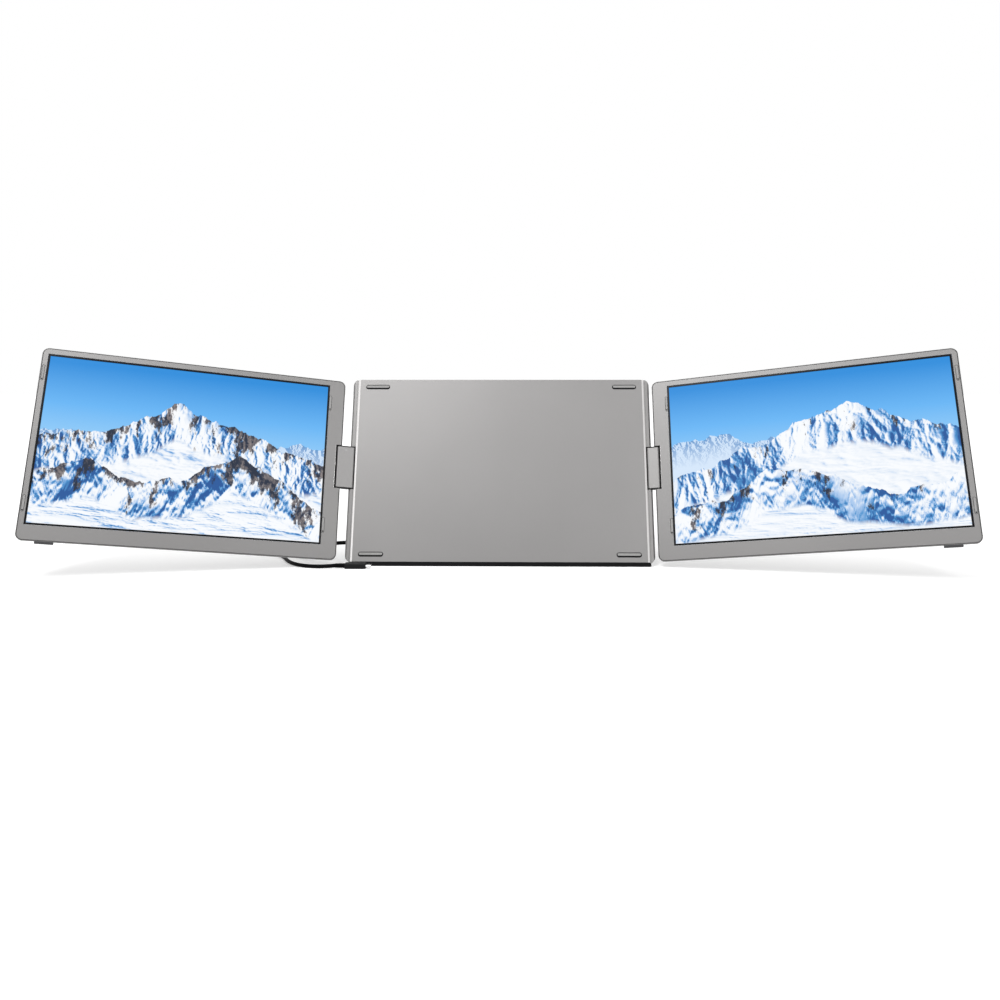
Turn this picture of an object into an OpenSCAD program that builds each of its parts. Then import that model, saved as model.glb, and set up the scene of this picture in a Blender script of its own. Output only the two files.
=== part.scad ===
/* [Stance] */
// How far the plate leans back from upright, in degrees
lean = 22.6; // [16:0.2:30]
// Height of the plate's lower front edge above the table
foot_lift = 5.8; // [5.4:0.1:8]
// Angle between the plate and its opened kickstand, in degrees
stand_open = 40; // [36:1:46]
// How far both screens are swung forward of the plate, in degrees
swing = 17; // [0:1:40]

/* [Plate] */
// Width across the plate
plate_w = 392; // [380:1:410]
// Height of the plate, along its slope
plate_h = 247; // [243:1:262]
// Corner radius of the rear shell
plate_corner_r = 8; // [5:0.5:9]
// Thickness of the plate at its wings
wing_t = 9; // [8.5:0.1:9.2]
// Thickness of the front panel
panel_t = 1.5; // [1.2:0.1:1.5]
// Width of the raised edge bead beside the front panel
rim_w = 5.8; // [5.7:0.1:6.4]
// Groove between the front panel and the edge bead
seam_w = 1.3; // [1.2:0.1:1.5]
// Width of the bevel on the front panel's upright edges
panel_bevel_w = 2.6; // [1:0.1:2.8]
// Depth of the bevel on the front panel's upright edges
panel_bevel_d = 1; // [0.6:0.1:1.1]
// Wall of the rear shell
shell_wall = 1.5; // [1.2:0.1:1.7]
// Width of the raised core that holds the hub
core_w = 300; // [290:1:310]
// Total thickness of the plate at its core
core_t = 16; // [15.8:0.1:17]
// Height of the core's lower edge up the plate
core_low = 8; // [7:0.5:10]
// Height of the core's upper edge up the plate
core_high = 235; // [225:1:238]
// Corner radius of the core
core_corner_r = 10; // [6:0.5:12]

/* [Rubber] */
// Length of the plate's foot strip
strip_l = 382; // [360:1:384]
// Width of the foot strip, across the plate's lower edge
strip_w = 8; // [7:0.1:8.4]
// Length of a front pad
pad_l = 31; // [24:0.5:36]
// Width of a front pad
pad_w = 5.5; // [4:0.1:7]
// Height of a front pad over the panel
pad_h = 0.7; // [0.4:0.1:1]
// Middle of a front pad, in from the plate's side
pad_side = 33; // [28:0.5:40]
// Middle of the upper pads, down from the plate's top
pad_top = 10.5; // [8:0.5:14]
// Middle of the lower pads, up from the plate's foot
pad_foot = 9.5; // [8:0.5:14]
// Length of a screen's foot pad
foot_pad_l = 20.4; // [16:0.2:24]
// Height of a screen's foot pad
foot_pad_h = 2.8; // [2:0.1:3.2]
// Width of a screen's foot pad
foot_pad_w = 3.6; // [3:0.1:4]
// A screen's foot pad, in from the screen's outer end
foot_pad_in = 21; // [16:0.5:40]
// Length of a bumper on a screen's frame
bumper_l = 19.5; // [14:0.5:24]
// Width of a bumper
bumper_w = 2.6; // [2:0.1:3]
// Height of a bumper over the frame
bumper_h = 0.4; // [0.3:0.05:0.5]

/* [Screens] */
// Width of the lit picture
picture_w = 336; // [330:1:340]
// Height of the lit picture
picture_h = 210; // [205:1:214]
// Frame beyond the picture, at the outer end
frame_outer = 9.5; // [9:0.1:12]
// Frame beyond the picture, at the hinge end
frame_inner = 22.5; // [20:0.1:26]
// Frame beyond the picture, at the top
frame_top = 10; // [9:0.1:12]
// Frame beyond the picture, at the foot
frame_foot = 21.5; // [20:0.1:24]
// Black border round the picture
border_w = 2.4; // [1.5:0.1:3]
// Thickness of a screen
screen_t = 6.2; // [6:0.1:6.6]
// Thickness of a screen's front frame
frame_t = 1.6; // [1.5:0.05:1.7]
// Back wall of a screen's rear cover
cover_wall = 0.9; // [0.8:0.05:1.1]
// Corner radius of a screen
screen_corner_r = 8; // [5:0.5:10]
// Height of a screen's lower edge over the plate's lower edge
screen_rise = 0.7; // [0:0.1:2]
// Bevel along a screen's lower rear edge
underside_bevel = 3; // [2:0.1:3.2]
// Thickness of the liquid crystal panel
lcd_t = 1.6; // [1.2:0.1:1.8]
// The liquid crystal panel's face, back from the frame's
lcd_back = 0.8; // [0.7:0.05:1]

/* [Hinges] */
// Radius of a hinge pin
pin_r = 1; // [0.8:0.05:1]
// Depth of the pins behind the front faces
pin_depth = 2.8; // [2.7:0.05:3]
// Distance of a pin in from the edge that it sits in
pin_inset = 3.5; // [3:0.05:3.6]
// How far a pin reaches into the edge above and below its block
pin_reach = 8; // [5:0.5:12]
// Thickness of a hinge block
block_t = 5; // [4.4:0.1:5]
// Height of a hinge block, without its washers
block_h = 54.4; // [48:0.2:60]
// Height of the hinge notches' lower end up the plate
hinge_low = 95.4; // [90:0.2:100]
// Thickness of a hinge washer
washer_t = 1.4; // [1:0.1:1.6]
// Free height between a block with its washers and each notch end
end_play = 0.4; // [0.2:0.05:0.5]
// Opening between a block's end and the plate's notch wall
plate_notch_gap = 1; // [0.8:0.1:1.1]
// Opening between a block's end and the screen's notch wall
screen_notch_gap = 1.6; // [1:0.1:2.4]
// Gap between the plate and the first folded screen
fold_gap = 5.6; // [4.8:0.1:6]
// Gap between the two folded screens
stack_gap = 0.8; // [0.7:0.05:1.5]

/* [Kickstand] */
// Width of the kickstand
stand_w = 234; // [220:1:240]
// Thickness of the kickstand
stand_t = 3; // [2.4:0.1:3.2]
// Height of the kickstand's hinge up the plate
stand_hinge_z = 188; // [180:1:196]
// Radius of the kickstand's hinge barrel
barrel_r = 2; // [1.8:0.05:2.2]
// Length of the kickstand's hinge barrel
barrel_l = 200; // [180:1:204]
// Radius of the kickstand's pins
stand_pin_r = 1; // [0.8:0.05:1.2]
// Length of a kickstand pin inside the barrel
stand_pin_in = 9; // [6:0.5:14]
// Width of a hinge ear on the rear shell
ear_w = 8; // [6:0.5:8]
// Width of the kickstand's rubber foot
stand_foot_w = 220; // [180:1:224]
// Thickness of the kickstand's rubber foot
stand_foot_t = 4; // [3.4:0.1:4.2]
// Height of the kickstand's rubber foot
stand_foot_h = 6; // [5:0.1:9]

/* [Hub] */
// Height of the hub board
board_h = 186; // [120:1:200]
// Thickness of the circuit boards
board_t = 0.8; // [0.6:0.1:1]
// Height of the lead's socket up the plate
port_z = 27.4; // [22:0.1:40]
// Distance between the two sockets
port_pitch = 18; // [15:0.5:24]
// Width of a socket
port_w = 9; // [8.9:0.05:9.2]
// Height of a socket
port_h = 3.2; // [3.1:0.05:3.4]
// Depth of a socket
port_d = 7.6; // [7.2:0.1:8.5]

/* [Buttons] */
// Radius of a button's cap
button_r = 2.9; // [2.4:0.1:3]
// Travel of a button
button_travel = 0.4; // [0.2:0.05:0.4]
// Middle of the power button, in from the screen's outer end
power_in = 34; // [30:0.5:40]
// Distance between the power and menu buttons
button_pitch = 15; // [10:0.5:24]
// Height of both buttons over the screen's lower edge
button_up = 11; // [9:0.5:13]

/* [Screws] */
// Radius of a screw's thread
screw_r = 0.8; // [0.6:0.05:0.9]
// Radius of a screw's head
screw_head_r = 1.7; // [1.4:0.05:1.8]
// Height of a screw's head
screw_head_h = 0.9; // [0.7:0.05:1]

/* [Lead] */
// Diameter of the lead
cord_d = 4.9; // [4.4:0.1:4.9]
// Length of a plug's grip
grip_l = 26; // [22:0.5:27]
// Width of a plug's grip
grip_w = 12; // [11:0.1:12.4]
// Thickness of a plug's grip
grip_t = 7; // [6.6:0.1:7.1]
// Length of a lead's tapered sleeve
sleeve_l = 12; // [10:0.5:14]
// Length of a plug's metal tip
tip_l = 6.4; // [6:0.1:6.6]
// Width of a plug's metal tip
tip_w = 8.3; // [8.2:0.02:8.34]
// Thickness of a plug's metal tip
tip_t = 2.4; // [2.3:0.02:2.44]

/* [Fits] */
// Radial clearance of a block or barrel on its pin
running_fit = 0.05; // [0.02:0.01:0.1]
// Radial clearance of a pin or screw that stays put
fixed_fit = 0.02; // [0.01:0.01:0.05]
// Clearance round a piece that is set into a recess
set_gap = 0.15; // [0.1:0.05:0.3]
// Clearance round a piece that moves in a recess
moving_gap = 0.4; // [0.3:0.05:0.6]

/* [Hidden] */
$fn = 48;
eps = 0.01;
past = 1;                     // how far a cutting tool runs past a face
flush_in = 0.1;               // screw heads and buttons lie this far under a face
LEFT = -1;
RIGHT = 1;

// Plate: x across, y from the front face backwards, z up the slope
half_w = plate_w / 2;
panel_half_w = half_w - rim_w - seam_w;
rim_x = half_w - rim_w;
pin_x = half_w - pin_inset;
strip_in = 0.5;               // the strip's front, back from the plate's front
front_y = -(strip_in + strip_w / 2) * cos(lean);
bead_front = 0.6;             // the edge bead's face, back from the panel's
bead_slope = 0.5;             // how much further back the bead's outer side is
bead_round = 2.2;             // bevel of the bead's outer edge
rear_bevel = 2;               // bevel of the wings' rear edges
hollow_edge = 4;              // solid edge left round the shell's hollow
hollow_side = 10;             // solid side left beside the hinges
hollow_corner_r = 6;
stiffener_t = 0.8;
stiffener_in = 2;             // the stiffener's edge, in from the shell's hollow
stiffener_side_in = 6;        // the stiffener's side, in from the front panel's
stiffener_corner_r = 4;
window_corner_r = 8;
rail_w = 20;                  // rails between the stiffener's windows
shell_boss_wall = 2.2;
shell_screw_in = 14;          // shell screws, in from the front panel's side
shell_screw_end = 20;         // the outer shell screws, in from the plate's ends

// Hinges
swing_gap = 0.3;              // free depth behind a turning block
block_r = block_t / 2;
notch_h = block_h + 2 * (washer_t + end_play);
block_low = hinge_low + end_play + washer_t;
notch_back = pin_depth + block_r + swing_gap;
grub_r = 0.9;
grub_in = 3.4;                // the grub screw, in from the block's end
grub_l = 1.6;
grub_sunk = 0.2;              // the grub screw's end, in from the block's face
function link(side) = 2 * pin_depth + fold_gap + (side == LEFT ? screen_t + stack_gap : 0);

// Screens: x outwards from the screen's pin, y from the front face, z as on the plate
inner_x = -pin_inset;
outer_x = inner_x + frame_inner + picture_w + frame_outer;
low_z = screen_rise;
high_z = low_z + frame_foot + picture_h + frame_top;
picture_x = inner_x + frame_inner;
picture_z = low_z + frame_foot;
tray_gap = 0.3;               // free depth behind the backlight
cover_in = screen_t - cover_wall;
border_t = 0.5;
border_back = lcd_back - border_t;
chin_edge = 3.5;              // solid edge left round the driver board's bay
chin_h = 14;
board_start = 40;             // the driver board's ends, in from the picture and the outer end
board_end = 16;
chin_x0 = picture_x + board_start;
chin_x1 = outer_x - board_end;
hinge_zone = 13;              // solid width left in the cover beside the hinge
cover_side = 2;               // side walls of the rear cover
boss_wall = 1.2;
boss_r = screw_r + boss_wall;
shell_boss_r = screw_r + shell_boss_wall;
bumper_side_in = 3.6;
bumper_hinge_in = 18.5;
bumper_drop = [32.5, 197];    // middles of the bumpers, down from the screen's top
screw_edge = 4.2;
screw_hinge_in = 14;          // cover screws beside the hinge, in from the screen's end
screw_foot_in = 10;           // lower cover screws, up from the screen's lower edge
seat_gap = 0.2;               // free depth round a button's flange
switch_w = 4;
switch_gap = 0.5;             // free depth between a pressed button and its switch
flange_w = 0.9;
flange_t = 0.5;

// Kickstand
pocket_gap = 0.4;
stand_hinge_y = core_t - barrel_r;
pocket_y = stand_hinge_y - barrel_r - pocket_gap;
pocket_half_w = stand_w / 2 + 1.5 * moving_gap;
pocket_top = stand_hinge_z + barrel_r + 1.25 * moving_gap;
stand_face = 0.3;             // the closed kickstand's face, in from the core's
stand_y1 = barrel_r - stand_face;
stand_y0 = stand_y1 - stand_t;
ear_x = barrel_l / 2 + moving_gap;
ear_h = 3.5;                  // an ear's height below the hinge
stand_corner_r = 2.4;
neck_overlap = 3;             // how far the hinge's neck reaches into the kickstand
grip_corner = 0.3;            // a grip's corner radius, as a share of its thickness
shoulder = 5.2;               // the kickstand's full width starts this far below its hinge
hinge_height = foot_lift - stand_hinge_y * sin(lean) + stand_hinge_z * cos(lean);
stand_reach = hinge_height / cos(stand_open - lean);

// Hub
bay_x0 = -core_w / 2 + shell_wall;
bay_x1 = -pocket_half_w - shell_wall;
port_y = wing_t + set_gap + grip_t / 2;
hub_board_y = port_y - port_h / 2 - board_t;
hub_board_z = core_low + core_corner_r;
board_gap = 1.3;              // free width beside the hub board
port_lip = 0.4;
port_back = 1;                // back wall of a socket
tip_fit = 0.05;               // clearance round a plug's tip in its socket
tongue_in = 1.4;              // the tongue's end, in from the socket's mouth
tongue_w = 6.6;
tongue_t = 0.7;
tip_slot_w = 7;
tip_slot_t = 1.1;
post_r = 2.5;                 // posts that hold the hub board, above its sockets
board_corner_r = 1;

// Lead, in the part's own frame
exit_x = -core_w / 2 - set_gap - grip_l - sleeve_l;
exit_y = front_y + port_y * cos(lean) + port_z * sin(lean);
exit_z = foot_lift - port_y * sin(lean) + port_z * cos(lean);
rest_z = cord_d / 2;
sleeve_wall = 0.3;            // the sleeve's wall at its thin end, and twice that at its grip
plug_x = -192;
plug_y = -19;
sides = 10;
route = [
    [exit_x, exit_y, exit_z], [-196, exit_y, exit_z], [-208, 18.5, 25.5], [-221, 21, 23.5],
    [-234, 26, 20], [-246, 34, 15], [-256, 45, 9], [-262, 58, 4.5], [-265, 72, 2.6],
    [-266, 86, rest_z], [-266, 100, rest_z], [-268, 114, rest_z], [-275, 127, rest_z],
    [-287, 135, rest_z], [-301, 137, rest_z], [-315, 133, rest_z], [-325, 123, rest_z],
    [-330, 110, rest_z], [-328, 96, rest_z], [-320, 84, rest_z], [-309, 74, rest_z],
    [-298, 64, rest_z], [-289, 52, rest_z], [-282, 39, rest_z], [-276, 25, rest_z],
    [-269, 11, rest_z], [-260, -2, rest_z], [-249, -12, rest_z], [-237, -18, rest_z],
    [-225, -20, 2.5], [-214, -19.4, 2.8], [plug_x - sleeve_l, plug_y, grip_t / 2]
];

metal = "#b4b3b2";
dark_metal = "#8d8c8c";
black = "#161616";

module lean_frame() {
    translate([0, front_y, foot_lift]) rotate([-lean, 0, 0]) children();
}

module on_side(side) {
    if (side == LEFT) mirror([1, 0, 0]) children();
    else children();
}

module at_block(side) {
    lean_frame() on_side(side) translate([pin_x, pin_depth, 0])
        rotate([0, 0, -swing]) translate([0, -pin_depth, 0]) children();
}

module at_screen(side) {
    at_block(side) translate([link(side), 0, 0]) children();
}

module at_stand() {
    lean_frame() translate([0, stand_hinge_y, stand_hinge_z]) rotate([stand_open, 0, 0]) children();
}

// A flat outline in x and z, given depth from y0 to y1
module depth(y0, y1) {
    translate([0, y1, 0]) rotate([90, 0, 0]) linear_extrude(y1 - y0) children();
}

module round_rect(x0, x1, z0, z1, r) {
    translate([x0 + r, z0]) square([x1 - x0 - 2 * r, z1 - z0]);
    translate([x0, z0 + r]) square([x1 - x0, z1 - z0 - 2 * r]);
    for (x = [x0 + r, x1 - r], z = [z0 + r, z1 - r]) translate([x, z]) circle(r);
}

// A bar with round ends, l long in x and w wide
module pill(l, w) {
    translate([-l / 2 + w / 2, -w / 2]) square([l - w, w]);
    for (s = [-1, 1]) translate([s * (l - w) / 2, 0]) circle(w / 2);
}

module pin_along_y(r, y0, y1) {
    translate([0, y1, 0]) rotate([90, 0, 0]) cylinder(r = r, h = y1 - y0);
}

// Places on the plate
module at_shell_screws() {
    for (x = [-1, 1] * (panel_half_w - shell_screw_in),
            z = [shell_screw_end, plate_h / 2, plate_h - shell_screw_end])
        translate([x, 0, z]) children();
}

module front_panel() {
    color(metal) lean_frame() difference() {
        linear_extrude(plate_h) polygon([
            [-panel_half_w, panel_t], [-panel_half_w, panel_bevel_d],
            [-panel_half_w + panel_bevel_w, 0], [panel_half_w - panel_bevel_w, 0],
            [panel_half_w, panel_bevel_d], [panel_half_w, panel_t]
        ]);
        at_shell_screws() pin_along_y(screw_r + fixed_fit, panel_t / 2, panel_t + past);
    }
}

// Half of the wings' cross-section, from the groove round the bead to the rear
bead_half = [
    [rim_x, panel_t], [rim_x, bead_front], [half_w - bead_round, bead_front + bead_slope],
    [half_w, bead_front + bead_slope + bead_round], [half_w, wing_t - rear_bevel],
    [half_w - rear_bevel, wing_t]
];

module wings() {
    n = len(bead_half);
    intersection() {
        depth(0, wing_t) shell_outline();
        linear_extrude(plate_h) polygon(concat(
            bead_half, [for (i = [n - 1:-1:0]) [-bead_half[i].x, bead_half[i].y]]
        ));
    }
}

module shell_outline() {
    round_rect(-half_w, half_w, 0, plate_h, plate_corner_r);
}

module core_hollow() {
    round_rect(-core_w / 2 + shell_wall, core_w / 2 - shell_wall, core_low + shell_wall,
        core_high - shell_wall, core_corner_r - shell_wall);
}

module shell_hollow() {
    depth(panel_t - eps, wing_t - shell_wall)
        round_rect(-half_w + hollow_side, half_w - hollow_side, hollow_edge,
            plate_h - hollow_edge, hollow_corner_r);
    depth(wing_t - shell_wall - eps, pocket_y - shell_wall) core_hollow();
    // the bays on both sides of the kickstand's pocket are deeper
    depth(pocket_y - shell_wall - eps, core_t - shell_wall) difference() {
        core_hollow();
        translate([bay_x1, 0]) square([-2 * bay_x1, plate_h]);
    }
}

module stand_pocket() {
    difference() {
        depth(pocket_y, core_t + past)
            translate([-pocket_half_w, core_low - past])
                square([2 * pocket_half_w, pocket_top - core_low + past]);
        for (s = [-1, 1]) translate([s * (ear_x + ear_w / 2), 0, stand_hinge_z])
            translate([-ear_w / 2, 0, -ear_h])
                cube([ear_w, core_t, ear_h + pocket_top - stand_hinge_z + past]);
    }
}

module hinge_notch() {
    translate([pin_x - block_r - plate_notch_gap, -past, hinge_low])
        cube([half_w, notch_back + past, notch_h]);
}

module pin_hole(r) {
    translate([0, pin_depth, hinge_low - pin_reach])
        cylinder(r = r, h = notch_h + 2 * pin_reach);
}

module port_window(grow) {
    for (n = [0, 1]) translate([-core_w / 2, port_y, port_z + n * port_pitch])
        rotate([90, 0, 90]) linear_extrude(2 * shell_wall, center = true)
            rotate(90) pill(port_w + 2 * grow, port_h + 2 * grow);
}

module rear_shell() {
    color(dark_metal) lean_frame() difference() {
        union() {
            difference() {
                union() {
                    wings();
                    depth(wing_t - eps, core_t)
                        round_rect(-core_w / 2, core_w / 2, core_low, core_high, core_corner_r);
                }
                shell_hollow();
                stand_pocket();
            }
            at_shell_screws() pin_along_y(shell_boss_r, panel_t, wing_t - eps);
            for (z = [port_z + 2 * port_pitch, hub_board_z + board_h - port_pitch])
                translate([(bay_x0 + bay_x1) / 2, 0, z])
                    pin_along_y(post_r, hub_board_y + board_t, core_t - shell_wall + eps);
        }
        at_shell_screws() {
            pin_along_y(screw_r + fixed_fit, panel_t - eps, wing_t);
            pin_along_y(screw_head_r + set_gap, wing_t - screw_head_h, wing_t + past);
        }
        for (s = [LEFT, RIGHT]) on_side(s) {
            hinge_notch();
            translate([pin_x, 0, 0]) pin_hole(pin_r + fixed_fit);
        }
        for (s = [LEFT, RIGHT]) on_side(s)
            translate([ear_x - past, stand_hinge_y, stand_hinge_z])
                rotate([0, 90, 0]) cylinder(r = stand_pin_r + fixed_fit, h = ear_w + past);
        port_window(set_gap / 2);
    }
}

// A steel sheet behind the front panel that ties the two hinge sides together
module stiffener() {
    low = hollow_edge + stiffener_in;
    high = plate_h - low;
    side = panel_half_w - stiffener_side_in;
    middle = plate_h / 2;
    color("#9aa0a4") lean_frame() difference() {
        depth(panel_t, panel_t + stiffener_t) round_rect(-side, side, low, high, stiffener_corner_r);
        for (s = [LEFT, RIGHT]) on_side(s) depth(panel_t - past, panel_t + stiffener_t + past) {
            for (z = [[low + rail_w, middle - rail_w / 2], [middle + rail_w / 2, high - rail_w]])
                round_rect(rail_w / 2, side - rail_w, z[0], z[1], window_corner_r);
        }
        at_shell_screws()
            pin_along_y(shell_boss_r + set_gap, panel_t - past, panel_t + stiffener_t + past);
    }
}

module foot_strip() {
    y0 = front_y + strip_in * cos(lean);
    y1 = front_y + (strip_in + strip_w) * cos(lean);
    z0 = foot_lift - strip_in * sin(lean);
    z1 = foot_lift - (strip_in + strip_w) * sin(lean);
    color(black) intersection() {
        translate([-strip_l / 2, 0, 0]) rotate([90, 0, 90]) linear_extrude(strip_l)
            polygon([[y0, 0], [y1, 0], [y1, z1], [y0, z0]]);
        translate([0, (y0 + y1) / 2, -past]) linear_extrude(foot_lift + 2 * past)
            pill(strip_l, y1 - y0);
    }
}

module front_pads() {
    color(metal) lean_frame()
        for (x = [-1, 1] * (half_w - pad_side), z = [pad_foot, plate_h - pad_top])
            translate([x, 0, z]) depth(-pad_h, 0) pill(pad_l, pad_w);
}

module shell_screws() {
    color("#5a5a5c") lean_frame() at_shell_screws() {
        pin_along_y(screw_r, panel_t / 2 + set_gap, wing_t - screw_head_h);
        pin_along_y(screw_head_r, wing_t - screw_head_h, wing_t - flush_in);
    }
}

module hub_board() {
    color("#1f5a3a") lean_frame() depth(hub_board_y, hub_board_y + board_t)
        round_rect(bay_x0 + board_gap, bay_x1 - board_gap, hub_board_z, hub_board_z + board_h,
            board_corner_r);
}

// A socket's shell with its tongue, its mouth at x = 0 and its depth along +x
module port() {
    rotate([90, 0, 90]) {
        linear_extrude(port_d) difference() {
            rotate(90) pill(port_w, port_h);
            rotate(90) pill(tip_w + 2 * tip_fit, tip_t + 2 * tip_fit);
        }
        translate([0, 0, port_d - port_back]) linear_extrude(port_back)
            rotate(90) pill(port_w, port_h);
        translate([0, 0, tongue_in]) linear_extrude(port_d - tongue_in - port_back / 2)
            square([tongue_t, tongue_w], center = true);
    }
}

module hub_ports() {
    color("#c9cacc") lean_frame() for (n = [0, 1])
        translate([-core_w / 2 + port_lip, port_y, port_z + n * port_pitch]) port();
}

module plate_pin(side) {
    color("#d8d8da") lean_frame() on_side(side) translate([pin_x, 0, 0]) pin_hole(pin_r);
}

module stand_pins() {
    color("#d8d8da") lean_frame() for (s = [LEFT, RIGHT]) on_side(s)
        translate([barrel_l / 2 - stand_pin_in, stand_hinge_y, stand_hinge_z])
            rotate([0, 90, 0])
                cylinder(r = stand_pin_r, h = stand_pin_in + moving_gap + ear_w);
}

module kickstand_panel() {
    low = -stand_reach + stand_foot_h;
    color(dark_metal) at_stand() difference() {
        union() {
            depth(stand_y0, stand_y1)
                round_rect(-stand_w / 2, stand_w / 2, low, -shoulder, stand_corner_r);
            translate([-barrel_l / 2, stand_y0, -shoulder - neck_overlap])
                cube([barrel_l, stand_t, shoulder + neck_overlap]);
            translate([-barrel_l / 2, 0, 0]) rotate([0, 90, 0]) cylinder(r = barrel_r, h = barrel_l);
        }
        for (s = [LEFT, RIGHT]) on_side(s)
            translate([barrel_l / 2 - stand_pin_in - moving_gap, 0, 0]) rotate([0, 90, 0])
                cylinder(r = stand_pin_r + running_fit, h = stand_pin_in + moving_gap + past);
    }
}

module kickstand_foot() {
    y = (stand_y0 + stand_y1) / 2;
    color(black) intersection() {
        at_stand() depth(y - stand_foot_t / 2, y + stand_foot_t / 2)
            translate([-stand_foot_w / 2, -stand_reach - stand_foot_h])
                square([stand_foot_w, 2 * stand_foot_h]);
        translate([-half_w, 0, 0]) cube([plate_w, plate_h * 2, plate_h]);
    }
}

// A plug with its metal tip along +x: the grip starts at x = 0
module plug_tip() {
    color("#c9cacc") translate([grip_l, 0, 0]) rotate([90, 0, 90]) linear_extrude(tip_l)
        difference() {
            pill(tip_w, tip_t);
            pill(tip_slot_w, tip_slot_t);
        }
}

module plug_grip() {
    color(black) rotate([90, 0, 90]) linear_extrude(grip_l)
        round_rect(-grip_w / 2, grip_w / 2, -grip_t / 2, grip_t / 2, grip_t * grip_corner);
}

module plug_sleeve() {
    color(black) translate([-sleeve_l, 0, 0]) rotate([0, 90, 0])
        cylinder(r1 = cord_d / 2 + sleeve_wall, r2 = cord_d / 2 + 2 * sleeve_wall, h = sleeve_l);
}

module at_hub_plug() {
    lean_frame() translate([-core_w / 2 - set_gap - grip_l, port_y, port_z])
        rotate([90, 0, 0]) children();
}

module at_laptop_plug() {
    translate([plug_x, plug_y, grip_t / 2]) children();
}

function unit(v) = v / norm(v);
function tangent(p, i) = unit(p[min(i + 1, len(p) - 1)] - p[max(i - 1, 0)]);
function ring(p, t, r) =
    let (across = unit(cross(t, [0, 0, 1])), up = cross(across, t))
    [for (k = [0:sides - 1]) p + r * (cos(360 * k / sides) * across + sin(360 * k / sides) * up)];

module lead() {
    n = len(route);
    points = [for (i = [0:n - 1]) each ring(route[i], i == 0 ? [-1, 0, 0] :
        i == n - 1 ? [1, 0, 0] : tangent(route, i), cord_d / 2)];
    walls = [for (i = [0:n - 2], k = [0:sides - 1])
        let (a = i * sides + k, b = i * sides + (k + 1) % sides) each [
            [a, a + sides, b], [b, a + sides, b + sides]
        ]];
    start = [[for (k = [0:sides - 1]) k]];
    end = [[for (k = [sides - 1:-1:0]) (n - 1) * sides + k]];
    color(black) polyhedron(points, concat(walls, start, end));
}

module block_shape(side, z0, h, bore) {
    l = link(side);
    translate([0, 0, z0]) linear_extrude(h) difference() {
        union() {
            translate([0, pin_depth - block_r]) square([l, block_t]);
            for (x = [0, l]) translate([x, pin_depth]) circle(block_r);
        }
        for (x = [0, l]) translate([x, pin_depth]) circle(bore);
    }
}

function grub_z(side) = side == LEFT ? block_low + block_h - grub_in : block_low + grub_in;

module at_grub(side) {
    translate([link(side) / 2, 0, grub_z(side)]) children();
}

module hinge_block(side) {
    y0 = pin_depth - block_r;
    color(metal) at_block(side) difference() {
        block_shape(side, block_low, block_h, pin_r + running_fit);
        at_grub(side) pin_along_y(grub_r + fixed_fit, y0 - past, y0 + grub_sunk + grub_l);
    }
}

module hinge_washers(side) {
    color(black) at_block(side) for (z = [block_low - washer_t, block_low + block_h])
        block_shape(side, z, washer_t, pin_r + running_fit);
}

module grub_screw(side) {
    y0 = pin_depth - block_r;
    color("#3a3a3c") at_block(side) at_grub(side)
        pin_along_y(grub_r, y0 + grub_sunk, y0 + grub_sunk + grub_l);
}

module screen_outline() {
    round_rect(inner_x, outer_x, low_z, high_z, screen_corner_r);
}

module picture_outline(grow) {
    translate([picture_x - grow, picture_z - grow])
        square([picture_w + 2 * grow, picture_h + 2 * grow]);
}

module screen_notch() {
    x1 = block_r + screen_notch_gap;
    translate([inner_x - past, -past, hinge_low])
        cube([x1 - inner_x + past, past + notch_back, notch_h]);
}

module at_cover_screws() {
    for (x = [inner_x + screw_hinge_in, outer_x - screw_edge],
            z = [low_z + screw_foot_in, high_z - screw_edge])
        translate([x, 0, z]) children();
}

module at_buttons(which) {
    for (n = which) translate([outer_x - power_in - n * button_pitch, 0, low_z + button_up])
        children();
}

module frame(side) {
    color(metal) at_screen(side) difference() {
        depth(0, frame_t) screen_outline();
        depth(-past, frame_t + past) picture_outline(border_w);
        screen_notch();
        at_cover_screws() pin_along_y(screw_r + fixed_fit, frame_t / 2, frame_t + past);
    }
}

module border(side) {
    color("#050505") at_screen(side) difference() {
        depth(border_back, lcd_back) picture_outline(border_w - set_gap);
        depth(-past, lcd_back + past) picture_outline(0);
    }
}

module lcd(side) {
    color("#5aa9ee") at_screen(side) depth(lcd_back, lcd_back + lcd_t)
        picture_outline(border_w - set_gap);
}

module backlight(side) {
    color("#e4e4e0") at_screen(side) depth(lcd_back + lcd_t, cover_in - tray_gap)
        picture_outline(border_w - set_gap);
}

module driver_board(side) {
    x0 = chin_x0 + set_gap;
    x1 = chin_x1 - set_gap;
    z0 = low_z + chin_edge + set_gap;
    color("#1f5a3a") at_screen(side) {
        depth(frame_t, frame_t + board_t) round_rect(x0, x1, z0, z0 + chin_h - 2 * set_gap,
            board_corner_r);
        at_buttons([0, 1])
            depth(frame_t + board_t, cover_in - seat_gap - flange_t - button_travel - switch_gap)
                square(switch_w, center = true);
    }
}

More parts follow.
